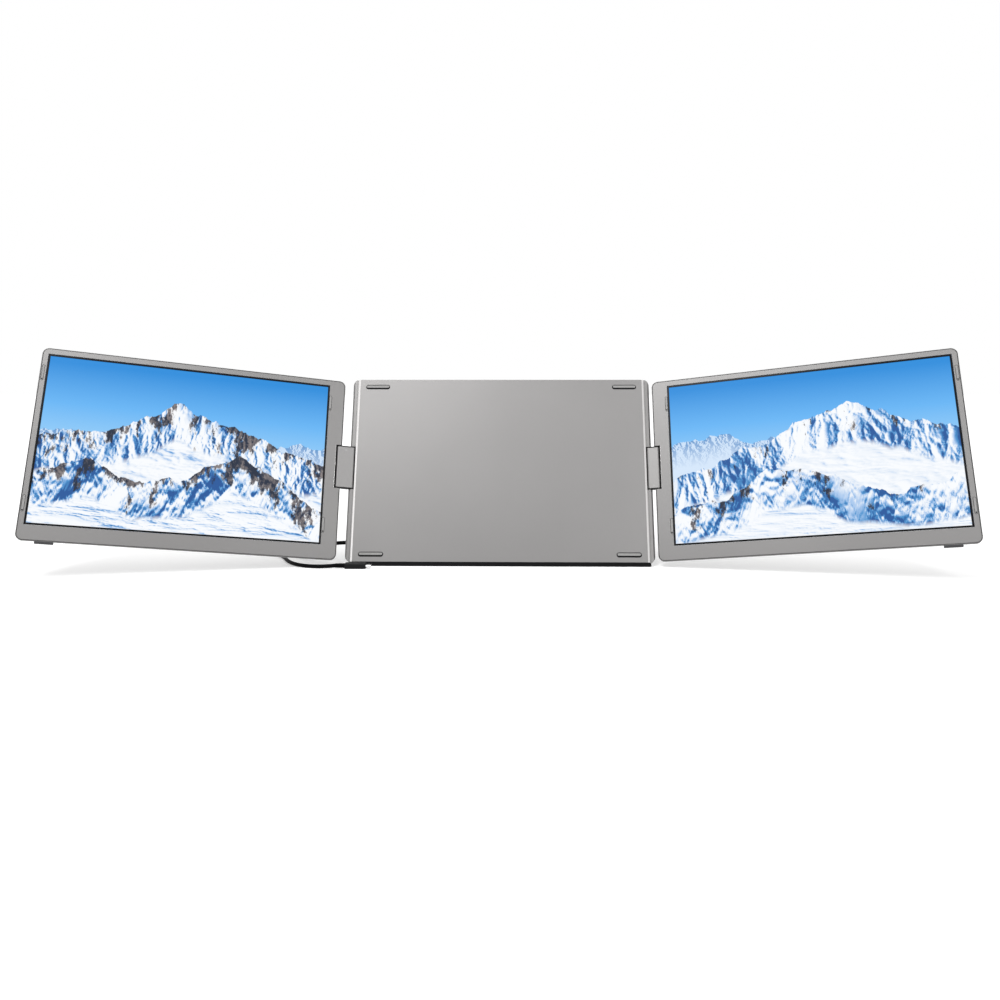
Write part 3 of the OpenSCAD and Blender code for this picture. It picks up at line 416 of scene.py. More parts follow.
def snowy_landscape(name, view):
    """A lit display that shows snow mountains under a clear sky, all from noise."""
    n = new_material(name)
    seed = view["seed"]
    uv = n.add("ShaderNodeUVMap", uv_map="picture")
    split = n.add("ShaderNodeSeparateXYZ", {0: uv}).node
    across, up = split.outputs[0], split.outputs[1]
    wide = n.add("ShaderNodeMapping", {"Vector": uv, "Location": (seed, seed, seed),
                                       "Scale": (PICTURE_W / PICTURE_H, 1, 1)})

    def below(stops, jag, scale, detail=9.0):
        """How far a point lies below a skyline."""
        line = n.ramp(across, [(x, grey(h)) for x, h in stops])
        teeth = n.add("ShaderNodeTexNoise", {
            "W": n.math("ADD", n.math("MULTIPLY", across, scale), seed),
            "Scale": 1.0, "Detail": detail, "Roughness": 0.6}, noise_dimensions="1D")
        height = n.math("ADD", line, n.math("MULTIPLY", n.math("SUBTRACT", teeth, 0.5), jag))
        return n.math("SUBTRACT", height, up)

    def mask(depth, soft=0.003):
        return n.math("DIVIDE", depth, soft, clamp=True)

    def leaning(turn, stretch, move=(0, 0)):
        return n.add("ShaderNodeMapping", {
            "Vector": wide, "Location": (*move, 0), "Rotation": (0, 0, turn),
            "Scale": (1, stretch, 1)})

    def folds(turn, stretch, scale, shift, detail=8.0):
        """Lit minus shaded sides of the folds that run down a slope."""
        def height(move):
            place = leaning(turn, stretch, move)
            warp = n.add("ShaderNodeTexNoise", {
                "Vector": place, "Scale": scale * 0.7, "Detail": 3.0}, out=1)
            warp = n.add("ShaderNodeVectorMath", {0: warp, 3: 0.5 / scale}, operation="SCALE")
            bent = n.add("ShaderNodeVectorMath", {0: place, 1: warp}, operation="ADD")
            return n.add("ShaderNodeTexNoise", {
                "Vector": bent, "Scale": scale, "Detail": detail, "Roughness": 0.55,
                "Lacunarity": 2.1, "Offset": 0.95, "Gain": 2.0},
                noise_type="RIDGED_MULTIFRACTAL", normalize=True)
        return n.math("SUBTRACT", height((0, 0)), height(shift))

    def slope(depth, turn, scale, rock):
        """Snow with rock showing through it."""
        light = n.math("MULTIPLY", folds(turn, 0.5, scale, (0.006, 0.008)), view["relief"])
        # whole flanks that lie in the sun or in the shade
        flank = n.noise(leaning(turn, 0.6), scale * 0.9, 3.0)
        flank = n.math("MULTIPLY", n.math("SUBTRACT", flank, 0.5), FLANKS)
        sunlit = n.math("ADD", flank, SLOPE_LIGHT)
        snow = n.ramp(n.math("ADD", light, sunlit, clamp=True), SNOW)
        patch = n.noise(leaning(turn, 0.45), scale * 3.0, 10.0, 0.7)
        steep = n.math("SUBTRACT", patch, n.math("MULTIPLY", depth, ROCK_SPREAD))
        stone = n.math("MULTIPLY", n.math("SUBTRACT", steep, rock), 30.0, clamp=True)
        grain = n.noise(wide, 60.0, 8.0, 0.75)
        tone = n.math("ADD", light, n.math("MULTIPLY", grain, ROCK_GRAIN))
        stone_colour = n.mix(n.math("SUBTRACT", tone, ROCK_DIM, clamp=True), ROCK_DARK, ROCK_LIT)
        return n.mix(stone, snow, stone_colour)

    def snowfield(light, ripple, mean):
        return n.ramp(n.math("ADD", n.math("MULTIPLY", light, ripple), mean, clamp=True), SNOW)

    def lowered(stops, drop):
        return [(x, h - drop) for x, h in stops]

    picture = n.ramp(up, SKY)

    # the hazy range at the back
    far_depth = below(view["far"], jag=0.1, scale=11.0)
    far_light = folds(turn=0.6, stretch=0.8, scale=12.0, shift=(0.005, 0.004))
    far = n.mix(n.math("ADD", n.math("MULTIPLY", far_light, 9.0), 0.5, clamp=True),
                FAR_DARK, FAR_LIT)
    far = n.mix(n.math("MULTIPLY", far_depth, 6.0, clamp=True), far, HAZE)
    picture = n.mix(mask(far_depth), picture, far)

    # the main mountain
    crest_depth = below(view["crest"], jag=0.12, scale=9.0)
    crest = slope(crest_depth, turn=0.7, scale=3.6, rock=view["rock"])
    picture = n.mix(mask(crest_depth), picture, crest)

    # the open snowfield below the crest
    field_depth = below(lowered(view["crest"], FIELD_DROP), jag=0.14, scale=5.0, detail=6.0)
    drift = folds(turn=0.2, stretch=2.4, scale=2.2, shift=(0.012, 0.02), detail=6.0)
    field = snowfield(drift, FIELD_RIPPLE * view["ripple"], FIELD_LIGHT)
    picture = n.mix(mask(field_depth, FIELD_SOFT), picture, field)

    # the spur in front of it
    spur_depth = below(view["spur"], jag=0.14, scale=7.0)
    spur = slope(spur_depth, turn=2.4, scale=3.0, rock=view["rock"] - 0.02)
    picture = n.mix(mask(spur_depth), picture, spur)

    # the snow at the viewer's feet
    near_depth = below(lowered(view["spur"], NEAR_DROP), jag=0.1, scale=3.0, detail=4.0)
    ripples = folds(turn=0.1, stretch=4.0, scale=2.0, shift=(0.006, 0.016))
    near = snowfield(ripples, view["ripple"], NEAR_LIGHT)
    picture = n.mix(mask(near_depth, NEAR_SOFT), picture, near)

    n.surface(Base_Color=(0.01, 0.01, 0.012, 1), Roughness=0.35, Specular_IOR_Level=0.05,
              Emission_Color=picture, Emission_Strength=1.0)
    return n.owner


PLATE_METAL = blasted_metal("anodised_plate", 0.19)
FRAME_METAL = blasted_metal("anodised_frame", 0.18)
BLOCK_METAL = blasted_metal("anodised_block", 0.21)
SHELL_METAL = blasted_metal("anodised_shell", 0.2, rough=(0.36, 0.46))
# painted shade: a near-black copy of the anodised metal, for the groove on the left of the front
# panel and the plate's outer sides
SHADE_PAINTED_METAL = blasted_metal("painted_edge_shade", 0.06)
# painted shade: a darker copy of the anodised metal, a dark line along the front of the covers'
# rims
PAINTED_RIM_SHADE_METAL = blasted_metal("painted_rim_shade", 0.12)
# painted highlights: pale copies of the anodised metal, the brighter for the left-hand bevel and
# the screens' notch edges, the softer for the right-hand bevel
PAINTED_HIGHLIGHT_METAL = blasted_metal("painted_highlight_bevel", 0.88, rough=(0.2, 0.3))
SOFTER_PAINTED_HIGHLIGHT_METAL = blasted_metal("softer_painted_highlight_bevel", 0.66, rough=(0.3, 0.4))
# painted shade: a near-black colour laid into recesses, notches, slots and gaps
PAINTED_SHADE_BLACK = moulded("painted_recess_shade", (0.003, 0.003, 0.003), (0.8, 0.95), shine=0.0)
RUBBER = moulded("black_rubber", (0.01, 0.01, 0.011), (0.6, 0.8), shine=0.1)
GREY_RUBBER = moulded("grey_silicone", (0.33, 0.325, 0.32), (0.5, 0.65))
PLASTIC = moulded("black_plastic", (0.008, 0.008, 0.0085), (0.4, 0.55), shine=0.12)
JACKET = moulded("lead_jacket", (0.004, 0.004, 0.0045), (0.4, 0.55), grain=1400.0,
                 relief=0.00005, shine=0.03)
FOOT_RUBBER = moulded("foot_rubber", (0.06, 0.06, 0.062), (0.6, 0.75), shine=0.2)
FILM = moulded("black_border", (0.006, 0.006, 0.007), (0.2, 0.3), grain=900.0,
               relief=0.00001, shine=0.08)
STEEL = turned_steel("steel", 0.62)
SCREW_STEEL = turned_steel("screw_steel", 0.22)
WHITE = moulded("diffuser_white", (0.8, 0.8, 0.78), (0.4, 0.5))
BOARD = board_green("board_green")
PICTURES = {side: snowy_landscape(SIDE_NAME[side] + "_landscape", LANDSCAPES[side])
            for side in (LEFT, RIGHT)}

# ------------------------------------------------------------- modelling tools


def drawn_out(bm, step):
    """A flat outline made into a solid."""
    raised = bmesh.ops.extrude_face_region(bm, geom=bm.faces[:])["geom"]
    bmesh.ops.translate(bm, vec=step,
                        verts=[v for v in raised if isinstance(v, bmesh.types.BMVert)])
    bmesh.ops.recalc_face_normals(bm, faces=bm.faces)
    return bm


def plaque(x0, x1, z0, z1, y0, y1, corner=0.0, steps=8):
    """A flat slab with rounded corners, y0 to y1 deep."""
    bm = bmesh.new()
    bmesh.ops.create_grid(bm, x_segments=1, y_segments=1, size=0.5)
    place = (Matrix.Translation(((x0 + x1) / 2, y0, (z0 + z1) / 2))
             @ Matrix.Rotation(math.pi / 2, 4, "X")
             @ Matrix.Diagonal((x1 - x0, z1 - z0, 1, 1)))
    bmesh.ops.transform(bm, matrix=place, verts=bm.verts)
    if corner:
        bmesh.ops.bevel(bm, geom=bm.verts[:], offset=corner, segments=steps, profile=0.5,
                        affect="VERTICES", material=-1)
    return drawn_out(bm, (0, y1 - y0, 0))


def prism(points, low, high, axis="Z"):
    """An outline in x and y drawn along z, or one in y and z drawn along x."""
    bm = bmesh.new()
    corners = [(x, y, low) if axis == "Z" else (low, x, y) for x, y in points]
    bm.faces.new([bm.verts.new(c) for c in corners])
    return drawn_out(bm, (0, 0, high - low) if axis == "Z" else (high - low, 0, 0))


TURN = {"X": Matrix.Rotation(math.pi / 2, 4, "Y"), "Y": Matrix.Rotation(math.pi / 2, 4, "X"),
        "Z": Matrix.Identity(4)}


def rod(centre, radius, length, axis, sides=32):
    """A round bar, its middle at centre."""
    bm = bmesh.new()
    bmesh.ops.create_cone(bm, cap_ends=True, segments=sides, radius1=radius, radius2=radius,
                          depth=length, matrix=Matrix.Translation(centre) @ TURN[axis])
    return bm


def joined(*parts):
    """Several closed shapes in one mesh."""
    whole = bmesh.new()
    for part in parts:
        mesh = as_mesh("part", part)
        whole.from_mesh(mesh)
        bpy.data.meshes.remove(mesh)
    return whole


def combined(body, tool, operation="DIFFERENCE"):
    """The exact Boolean of two closed shapes."""
    work, cutter = (new_object("work", as_mesh("work", bm)) for bm in (body, tool))
    boolean = work.modifiers.new("boolean", "BOOLEAN")
    boolean.operation, boolean.solver, boolean.object = operation, "EXACT", cutter
    bpy.context.view_layer.update()
    result = work.evaluated_get(bpy.context.evaluated_depsgraph_get()).to_mesh()
    bm = bmesh.new()
    bm.from_mesh(result)
    for temporary in (work, cutter):
        mesh = temporary.data
        bpy.data.objects.remove(temporary)
        bpy.data.meshes.remove(mesh)
    bmesh.ops.remove_doubles(bm, verts=bm.verts, dist=MERGE)
    bmesh.ops.dissolve_limit(bm, angle_limit=math.radians(0.5), verts=bm.verts, edges=bm.edges,
                             delimit={"NORMAL"})
    return bm


def ease(bm, width, steps=3, where=None, sharp=30):
    """Rounds the sharp edges, all or those that where() picks by their middle."""
    bm.normal_update()
    edges = [e for e in bm.edges if len(e.link_faces) == 2
             and e.calc_face_angle(0) > math.radians(sharp)
             and (where is None or where((e.verts[0].co + e.verts[1].co) / 2))]
    bmesh.ops.bevel(bm, geom=edges, offset=width, segments=steps, profile=0.5, affect="EDGES",
                    material=-1, clamp_overlap=True)
    return bm


def add_piece(name, bm, place, finish, body, stands_for=(), other=()):
    """Puts a shape drawn in millimetres where it belongs, in metres.

    other holds pairs of a material and a test of a face that picks where it goes."""
    for face in bm.faces:
        for index, (_, picks) in enumerate(other, 1):
            if picks(face):
                face.material_index = index
    matrix = Matrix.Scale(MM, 4) @ place
    bmesh.ops.transform(bm, matrix=matrix, verts=bm.verts)
    if place.determinant() < 0:
        bmesh.ops.reverse_faces(bm, faces=bm.faces)
    for face in bm.faces:
        face.smooth = True
    mesh = as_mesh(name, bm)
    mesh.set_sharp_from_angle(angle=math.radians(40))
    mesh.materials.append(finish)
    for material, _ in other:
        mesh.materials.append(material)
    piece = new_object(name, mesh)
    weighted = piece.modifiers.new("weighted_normals", "WEIGHTED_NORMAL")
    weighted.keep_sharp = True
    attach(piece, body)
    if stands_for:
        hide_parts(*stands_for)
    return piece


# ------------------------------------------------------------------- the plate


def make_front_panel():
    outline = [(-PANEL_X, PANEL_T), (-PANEL_X, PANEL_BEVEL_D), (-PANEL_X + PANEL_BEVEL_W, 0),
               (PANEL_X - PANEL_BEVEL_W, 0), (PANEL_X, PANEL_BEVEL_D), (PANEL_X, PANEL_T)]
    bm = ease(prism(outline, 0, PLATE_H), EDGE["panel"], sharp=20)
    seats = joined(*[pill(x, z, PAD_L + 2 * SEAT_GAP, PAD_W + 2 * SEAT_GAP, -PAST, SEAT_D)
                     for x, z in PADS])
    inside = PANEL_X - 2 * PANEL_BEVEL_W
    # painted shade: the walls and floors of the pads' recesses near-black
    seat = painted_shade_in((-inside, SLACK, 1), (inside, SEAT_D, PLATE_H - 1))

    def bevel_at(side):
        """Picks the slanting faces at one side."""
        return lambda face: (0.2 < side * face.normal.x < 0.9
                             and face.calc_center_median().y < PANEL_BEVEL_D)

    # painted highlights on the bevels: brighter on the left-hand one, softer on the right-hand one
    add_piece("plate_face", combined(bm, seats), PLATE, PLATE_METAL, "root", ["front_panel"],
              [(PAINTED_HIGHLIGHT_METAL, bevel_at(LEFT)), (SOFTER_PAINTED_HIGHLIGHT_METAL, bevel_at(RIGHT)), seat])


def hinge_notch(side):
    x0, x1 = sorted((side * PLATE_NOTCH_X, side * (HALF_W + WELL_PAST)))
    return plaque(x0, x1, HINGE_LOW, HINGE_HIGH, -WELL_PAST, NOTCH_BACK)


def pin_bore(x):
    return rod((x, PIN_DEPTH, HINGE_MIDDLE), PIN_R + PIN_PLAY, NOTCH_H + 2 * PIN_REACH, "Z", 24)


def walls_in(low, high):
    """Picks the faces that lie wholly inside a box, with its own walls."""
    def picks(face):
        return all(low[k] - SLACK < v.co[k] < high[k] + SLACK for v in face.verts for k in range(3))
    return picks


# paints the faces inside a box near-black, as painted shade
def painted_shade_in(low, high):
    return PAINTED_SHADE_BLACK, walls_in(low, high)


def make_shell():
    half = [(RIM_X, PANEL_T), (RIM_X, BEAD_FRONT), (HALF_W - BEAD_ROUND, BEAD_FRONT + BEAD_SLOPE),
            (HALF_W, BEAD_FRONT + BEAD_SLOPE + BEAD_ROUND), (HALF_W, WING_T - REAR_BEVEL),
            (HALF_W - REAR_BEVEL, WING_T)]
    wings = prism(half + [(-x, y) for x, y in reversed(half)], 0, PLATE_H)
    outline = plaque(-HALF_W, HALF_W, 0, PLATE_H, -PAST, WING_T + PAST, PLATE_CORNER, 10)
    shell = combined(wings, outline, "INTERSECT")
    core = plaque(-CORE_W / 2, CORE_W / 2, CORE_LOW, CORE_HIGH, WING_T - PAST, CORE_T,
                  CORE_CORNER, 10)
    ease(core, EDGE["core"], 4, where=lambda p: p.y > CORE_T - HAIR)
    shell = combined(shell, core, "UNION")

    # the hollow of the wings, the core's, and what goes on beside the pocket
    edge, side = 4, 10
    hollow = plaque(-HALF_W + side, HALF_W - side, edge, PLATE_H - edge, PANEL_T - OVERLAP,
                    WING_T - SHELL_WALL, PLATE_CORNER - 2)
    shell = combined(shell, hollow)
    inner = CORE_W / 2 - SHELL_WALL
    shell = combined(shell, plaque(
        -inner, inner, CORE_LOW + SHELL_WALL, CORE_HIGH - SHELL_WALL,
        WING_T - SHELL_WALL - OVERLAP, POCKET_Y - SHELL_WALL, CORE_CORNER - SHELL_WALL))
    for s in (LEFT, RIGHT):
        x0, x1 = sorted((s * (POCKET_X + SHELL_WALL), s * inner))
        shell = combined(shell, plaque(x0, x1, CORE_LOW + side, CORE_HIGH - side,
                                       POCKET_Y - SHELL_WALL - OVERLAP, CORE_T - SHELL_WALL, 2))

    # the kickstand's pocket, with the ears that carry its pins left standing in it
    pocket = plaque(-POCKET_X, POCKET_X, CORE_LOW - POCKET_DOWN, POCKET_TOP, POCKET_Y,
                    CORE_T + WELL_PAST, POCKET_CORNER)
    ear_x = BARREL_L / 2 + EAR_GAP
    for s in (LEFT, RIGHT):
        x0, x1 = sorted((s * ear_x, s * (ear_x + EAR_W)))
        pocket = combined(pocket, plaque(x0, x1, STAND_HINGE_Z - EAR_DOWN, POCKET_TOP + PAST,
                                         EAR_FRONT, CORE_T))
    shell = combined(shell, pocket)

    for s in (LEFT, RIGHT):
        shell = combined(shell, hinge_notch(s))
        shell = combined(shell, pin_bore(s * PIN_X))
    width, height = PORT_W / 2 + PORT_PLAY, PORT_H / 2 + PORT_PLAY
    windows = joined(*[
        plaque(-CORE_W / 2 - PAST, -CORE_W / 2 + PAST, z - width, z + width, PORT_Y - height,
               PORT_Y + height) for z in (PORT_Z, PORT_Z + PORT_PITCH)])
    shell = combined(shell, windows)
    heads = joined(*[rod((x, WING_T, z), *SCREW_HOLE, "Y", SCREW_SIDES) for x, z in SHELL_SCREWS])
    shell = combined(shell, heads)
    vent_low, vent_high = VENT_Z - VENT_H / 2, VENT_Z + VENT_H / 2
    vents = joined(*[plaque(x - VENT_HALF_W, x + VENT_HALF_W, vent_low, vent_high,
                            CORE_T - VENT_D, CORE_T + PAST, VENT_HALF_W - HAIR, 5) for x in VENTS])
    shell = combined(shell, vents)
    ease(shell, EDGE["shell"], 2,
         where=lambda p: p.y < NOTCH_BACK - 0.1 or p.y > WING_T - EDGE["core"])

    # painted shade: the hinge notches and the vent slots near-black, and the groove beside the
    # front panel near-black on the left side only
    notches = [painted_shade_in((x0, -1, HINGE_LOW), (x1, NOTCH_BACK, HINGE_HIGH))
               for x0, x1 in ((-HALF_W, -PLATE_NOTCH_X), (PLATE_NOTCH_X, HALF_W))]
    seam = (SHADE_PAINTED_METAL, walls_in((-RIM_X, BEAD_FRONT + 0.4, -1), (-PANEL_X, PANEL_T, PLATE_H + 1)))
    slots = painted_shade_in((-CORE_W / 2, CORE_T - VENT_D, vent_low), (CORE_W / 2, CORE_T - 0.1, vent_high))

    # painted shade: the shell's outer sides near-black
    def is_side(face):
        return abs(face.normal.x) > 0.95 and abs(face.calc_center_median().x) > HALF_W - 0.1

    add_piece("plate_shell", shell, PLATE, SHELL_METAL, "root", ["rear_shell"],
              [seam, *notches, slots, (SHADE_PAINTED_METAL, is_side)])


def make_foot_strip():
    y0, y1 = STRIP_IN, STRIP_IN + STRIP_W
    points = [PLATE @ Vector((0, y, 0)) for y in (y0, y1)]
    outline = [(points[0].y, 0), (points[1].y, 0), (points[1].y, points[1].z),
               (points[0].y, points[0].z)]
    bm = prism(outline, -STRIP_L / 2, STRIP_L / 2, "X")
    # the upright edges at both ends
    bm = ease(bm, STRIP_ROUND, 6,
              where=lambda p: abs(p.x) > STRIP_L / 2 - HAIR and 0.5 < p.z < 4.9)
    groove = plaque(-STRIP_L / 2 - WELL_PAST, STRIP_L / 2 + WELL_PAST, *STRIP_GROOVE,
                    points[0].y - PAST, points[0].y + STRIP_GROOVE_D)
    bm = ease(combined(bm, groove), EDGE["strip"], 2)
    add_piece("foot_strip_rubber", bm, TABLE, RUBBER, "root", ["foot_strip"])


def pill(x, z, length, width, y0, y1, rounding=0.0, along="X"):
    """A slab with round ends, its front edge rounded too."""
    half = (length / 2, width / 2) if along == "X" else (width / 2, length / 2)
    bm = plaque(x - half[0], x + half[0], z - half[1], z + half[1], y0, y1, width / 2 - HAIR, 10)
    return ease(bm, rounding, where=lambda p: p.y < y0 + HAIR) if rounding else bm


def make_front_pads():
    """Each pad is a grey cap on a black base; the black left bare round the cap is painted shade,
    widest along the lower edge as a painted shadow.
    """
    shade_bases = joined(*[pill(x, z, PAD_L, PAD_W, PAD_STEP - PAD_H, SEAT_D, EDGE["pad"])
                    for x, z in PADS])
    add_piece("plate_pad_shade_bases", shade_bases, PLATE, RUBBER, "root", ["front_pads"])
    cap_l, cap_w = PAD_L - 2 * PAD_SHADE_RIM, PAD_W - PAD_SHADE_RIM - PAD_SHADOW_BAND
    caps = joined(*[pill(x, z + (PAD_SHADOW_BAND - PAD_SHADE_RIM) / 2, cap_l, cap_w, -PAD_H, -PAD_CAP_LOW,
                         EDGE["pad"]) for x, z in PADS])
    add_piece("plate_pad_caps", caps, PLATE, GREY_RUBBER, "root")


def screw_heads(places, rear):
    """Heads with a hexagon socket, sunk a little under the rear face."""
    radius, height = SCREW_HEAD
    top = rear - SCREW_SUNK
    heads = []
    for x, z in places:
        head = rod((x, top - height / 2, z), radius, height, "Y", SCREW_SIDES)
        ease(head, EDGE["screw"], 2)
        socket = rod((x, top, z), radius * SOCKET_SHARE, SOCKET_L, "Y", 6)
        heads.append(combined(head, socket))
    return joined(*heads)


def make_shell_screws():
    add_piece("shell_screw_heads", screw_heads(SHELL_SCREWS, WING_T), PLATE, SCREW_STEEL, "root",
              ["shell_screws"])


# -------------------------------------------------------------------- kickstand


def make_kickstand():
    low = -STAND_REACH + STAND_FOOT_H
    panel = plaque(-STAND_W / 2, STAND_W / 2, low, -SHOULDER, STAND_Y0, STAND_Y1, STAND_CORNER)
    neck = plaque(-BARREL_L / 2, BARREL_L / 2, -SHOULDER - NECK_OVERLAP, NECK_TOP,
                  STAND_Y0 + NECK_FRONT, STAND_Y1 - NECK_BACK)
    panel = combined(panel, neck, "UNION")
    panel = combined(panel, rod((0, 0, 0), BARREL_R, BARREL_L, "X"), "UNION")
    scoop = rod((0, STAND_Y1 + SCOOP_R - SCOOP_D, low + SCOOP_R), SCOOP_R, SCOOP_L, "X", 64)
    panel = combined(panel, ease(scoop, EDGE["scoop"], 4))
    ease(panel, EDGE["kickstand"])
    add_piece("kickstand_plate", panel, STAND, SHELL_METAL, "kickstand", ["kickstand_panel"])


def make_kickstand_foot():
    """A grooved bar, cut off level with the table."""
    middle, half_w, end = (STAND_Y0 + STAND_Y1) / 2, STAND_FOOT_W / 2, -STAND_REACH
    front, back = middle - STAND_FOOT_T / 2, middle + STAND_FOOT_T / 2
    bar = plaque(-half_w, half_w, end - WELL_PAST, end + STAND_FOOT_H, front, back)
    grooves = joined(*[plaque(-half_w - PAST, half_w + PAST, end + z, end + z + FOOT_GROOVE_H,
                              back - FOOT_GROOVE_D, back + PAST) for z in FOOT_GROOVES])
    bar = combined(bar, grooves)
    bmesh.ops.transform(bar, matrix=STAND, verts=bar.verts)
    cut = bmesh.ops.bisect_plane(bar, geom=bar.verts[:] + bar.edges[:] + bar.faces[:],
                                 plane_co=(0, 0, 0), plane_no=(0, 0, -1), clear_outer=True)
    bmesh.ops.holes_fill(
        bar, edges=[e for e in cut["geom_cut"] if isinstance(e, bmesh.types.BMEdge)])
    bmesh.ops.recalc_face_normals(bar, faces=bar.faces)
    ease(bar, EDGE["kickstand_foot"], 2)
    add_piece("kickstand_rubber", bar, TABLE, RUBBER, "kickstand", ["kickstand_foot"])


# ---------------------------------------------------------------- hinge blocks


def make_block(side):
    name = SIDE_NAME[side]
    length = LINK[side]
    bm = plaque(-BLOCK_R, length + BLOCK_R, PIN_DEPTH - BLOCK_R, PIN_DEPTH + BLOCK_R,
                BLOCK_LOW, BLOCK_LOW + BLOCK_H, BLOCK_R - HAIR)
    # drawn lying down: its depth becomes its height
    bmesh.ops.transform(bm, matrix=Matrix(((1, 0, 0, 0), (0, 0, 1, 0), (0, 1, 0, 0), (0, 0, 0, 1))),
                        verts=bm.verts)
    bmesh.ops.recalc_face_normals(bm, faces=bm.faces)
    middle = BLOCK_LOW + BLOCK_H / 2
    for x in (0, length):
        bore = rod((x, PIN_DEPTH, middle), PIN_R + BLOCK_PIN_PLAY, BLOCK_H + 2 * OVERLAP, "Z", 24)
        bm = combined(bm, bore)
    ease(bm, EDGE["block"], where=lambda p: abs(abs(p.z - middle) - BLOCK_H / 2) < HAIR)
    grub_z = BLOCK_LOW + (BLOCK_H - GRUB_IN if side == LEFT else GRUB_IN)
    bm = combined(bm, rod((length / 2, PIN_DEPTH - BLOCK_R, grub_z), *GRUB_HOLE, "Y", 20))
    add_piece(name + "_link_block", bm, link_frame(side), BLOCK_METAL, name + "_hinge_link",
              [name + "_hinge_block"])


# --------------------------------------------------------------------- screens


def picture_box(grow, y0, y1):
    return plaque(PICTURE_X - grow, PICTURE_X + PICTURE_W + grow, PICTURE_Z - grow,
                  PICTURE_Z + PICTURE_H + grow, y0, y1)


def screen_notch():
    return plaque(INNER_X - WELL_PAST, NOTCH_END, HINGE_LOW, HINGE_HIGH, -WELL_PAST, NOTCH_BACK)


# painted shade: the screens' hinge notches near-black
NOTCH_PAINTED_SHADE = painted_shade_in((INNER_X, -1, HINGE_LOW), (NOTCH_END, NOTCH_BACK, HINGE_HIGH))
NOTCH_BEVEL = 1.2
# painted highlight: the bevelled edge of each notch's wall that faces the plate, pale
NOTCH_WALL = (PAINTED_HIGHLIGHT_METAL, walls_in((NOTCH_END, -SLACK, HINGE_LOW - PAST),
                                     (NOTCH_END + NOTCH_BEVEL, NOTCH_BEVEL, HINGE_HIGH + PAST)))


def add_to_screen(side, name, bm, finish, stands_for, other=()):
    prefix = SIDE_NAME[side] + "_"
    add_piece(prefix + name, bm, screen_frame(side), finish, prefix + "screen",
              [prefix + stands_for], other)


def screen_slab(inset, y0, y1):
    return plaque(INNER_X + inset, OUTER_X - inset, LOW_Z + inset, HIGH_Z - inset, y0, y1,
                  SCREEN_CORNER - inset, 10)


def make_frame(side):
    bm = screen_slab(RIM_W + RIM_GAP, 0, FRAME_T)
    bm = combined(bm, picture_box(BORDER_W, -WELL_PAST, WELL_PAST))
    bm = combined(bm, screen_notch())
    ease(bm, NOTCH_BEVEL, 1, where=lambda p: abs(p.x - NOTCH_END) < HAIR and p.y < HAIR)
    ease(bm, EDGE["frame"], where=lambda p: p.y < HAIR)
    bm = combined(bm, joined(*[pill(x, z, BUMPER_L + 2 * SEAT_GAP, BUMPER_W + 2 * SEAT_GAP, -PAST,
                                    SEAT_D, along="Z") for x, z in BUMPERS]))
    # painted shade: the walls and floors of the bumpers' recesses near-black
    seats = [painted_shade_in((x - BUMPER_W, SLACK, z - BUMPER_L), (x + BUMPER_W, SEAT_D, z + BUMPER_L))
             for x, z in BUMPERS]
    add_to_screen(side, "bezel", bm, FRAME_METAL, "frame",
                  [NOTCH_PAINTED_SHADE, NOTCH_WALL, *seats])


def underside_cut():
    """What the bevel takes off a rear cover's lower back edge."""
    bm = plaque(INNER_X - PAST, OUTER_X + PAST, -UNDERSIDE_BEVEL, UNDERSIDE_BEVEL, 0,
                UNDERSIDE_BEVEL)
    middle = (0, SCREEN_T - UNDERSIDE_BEVEL / 2, LOW_Z + UNDERSIDE_BEVEL / 2)
    place = Matrix.Translation(middle) @ Matrix.Rotation(-math.pi / 4, 4, "X")
    bmesh.ops.transform(bm, matrix=place, verts=bm.verts)
    return bm


def make_cover(side):
    bm = screen_slab(0, RIM_BACK, SCREEN_T)
    bm = combined(bm, underside_cut())
    bm = combined(bm, screen_slab(RIM_W, -WELL_PAST, FRAME_T))
    inside = plaque(INNER_X + COVER_SIDE, OUTER_X - COVER_WALL, LOW_Z + COVER_FLOOR,
                    HIGH_Z - COVER_WALL, FRAME_T - WELL_PAST, COVER_IN, COVER_ROUND)
    bosses = joined(*[rod((x, COVER_IN + PAST - BOSS_L / 2, z), BOSS_R, BOSS_L, "Y", 24)
                      for x, z in COVER_SCREWS])
    bm = combined(bm, combined(inside, bosses))
    bm = combined(bm, screen_notch())
    bm = combined(bm, pin_bore(0))
    holes = joined(
        *[rod((x, SCREEN_T, z), *SCREW_HOLE, "Y", SCREW_SIDES) for x, z in COVER_SCREWS],
        *[rod((x, SCREEN_T, BUTTON_Z), BUTTON_R + BUTTON_PLAY, 2 * PAST, "Y", 40)
          for x in BUTTONS.values()])
    bm = combined(bm, holes)
    ease(bm, EDGE["cover"], where=lambda p: p.y > SCREEN_T - HAIR)
    # painted shade: a dark line on the rim's front face, and the gap between rim and frame
    # near-black
    rim = (PAINTED_RIM_SHADE_METAL, walls_in((INNER_X, RIM_BACK, LOW_Z), (OUTER_X, RIM_BACK, HIGH_Z)))
    groove = painted_shade_in((INNER_X + RIM_W, 0, LOW_Z + RIM_W), (OUTER_X - RIM_W, FRAME_T, HIGH_Z - RIM_W))
    add_to_screen(side, "back_cover", bm, SHELL_METAL, "rear_cover",
                  [NOTCH_PAINTED_SHADE, rim, groove])


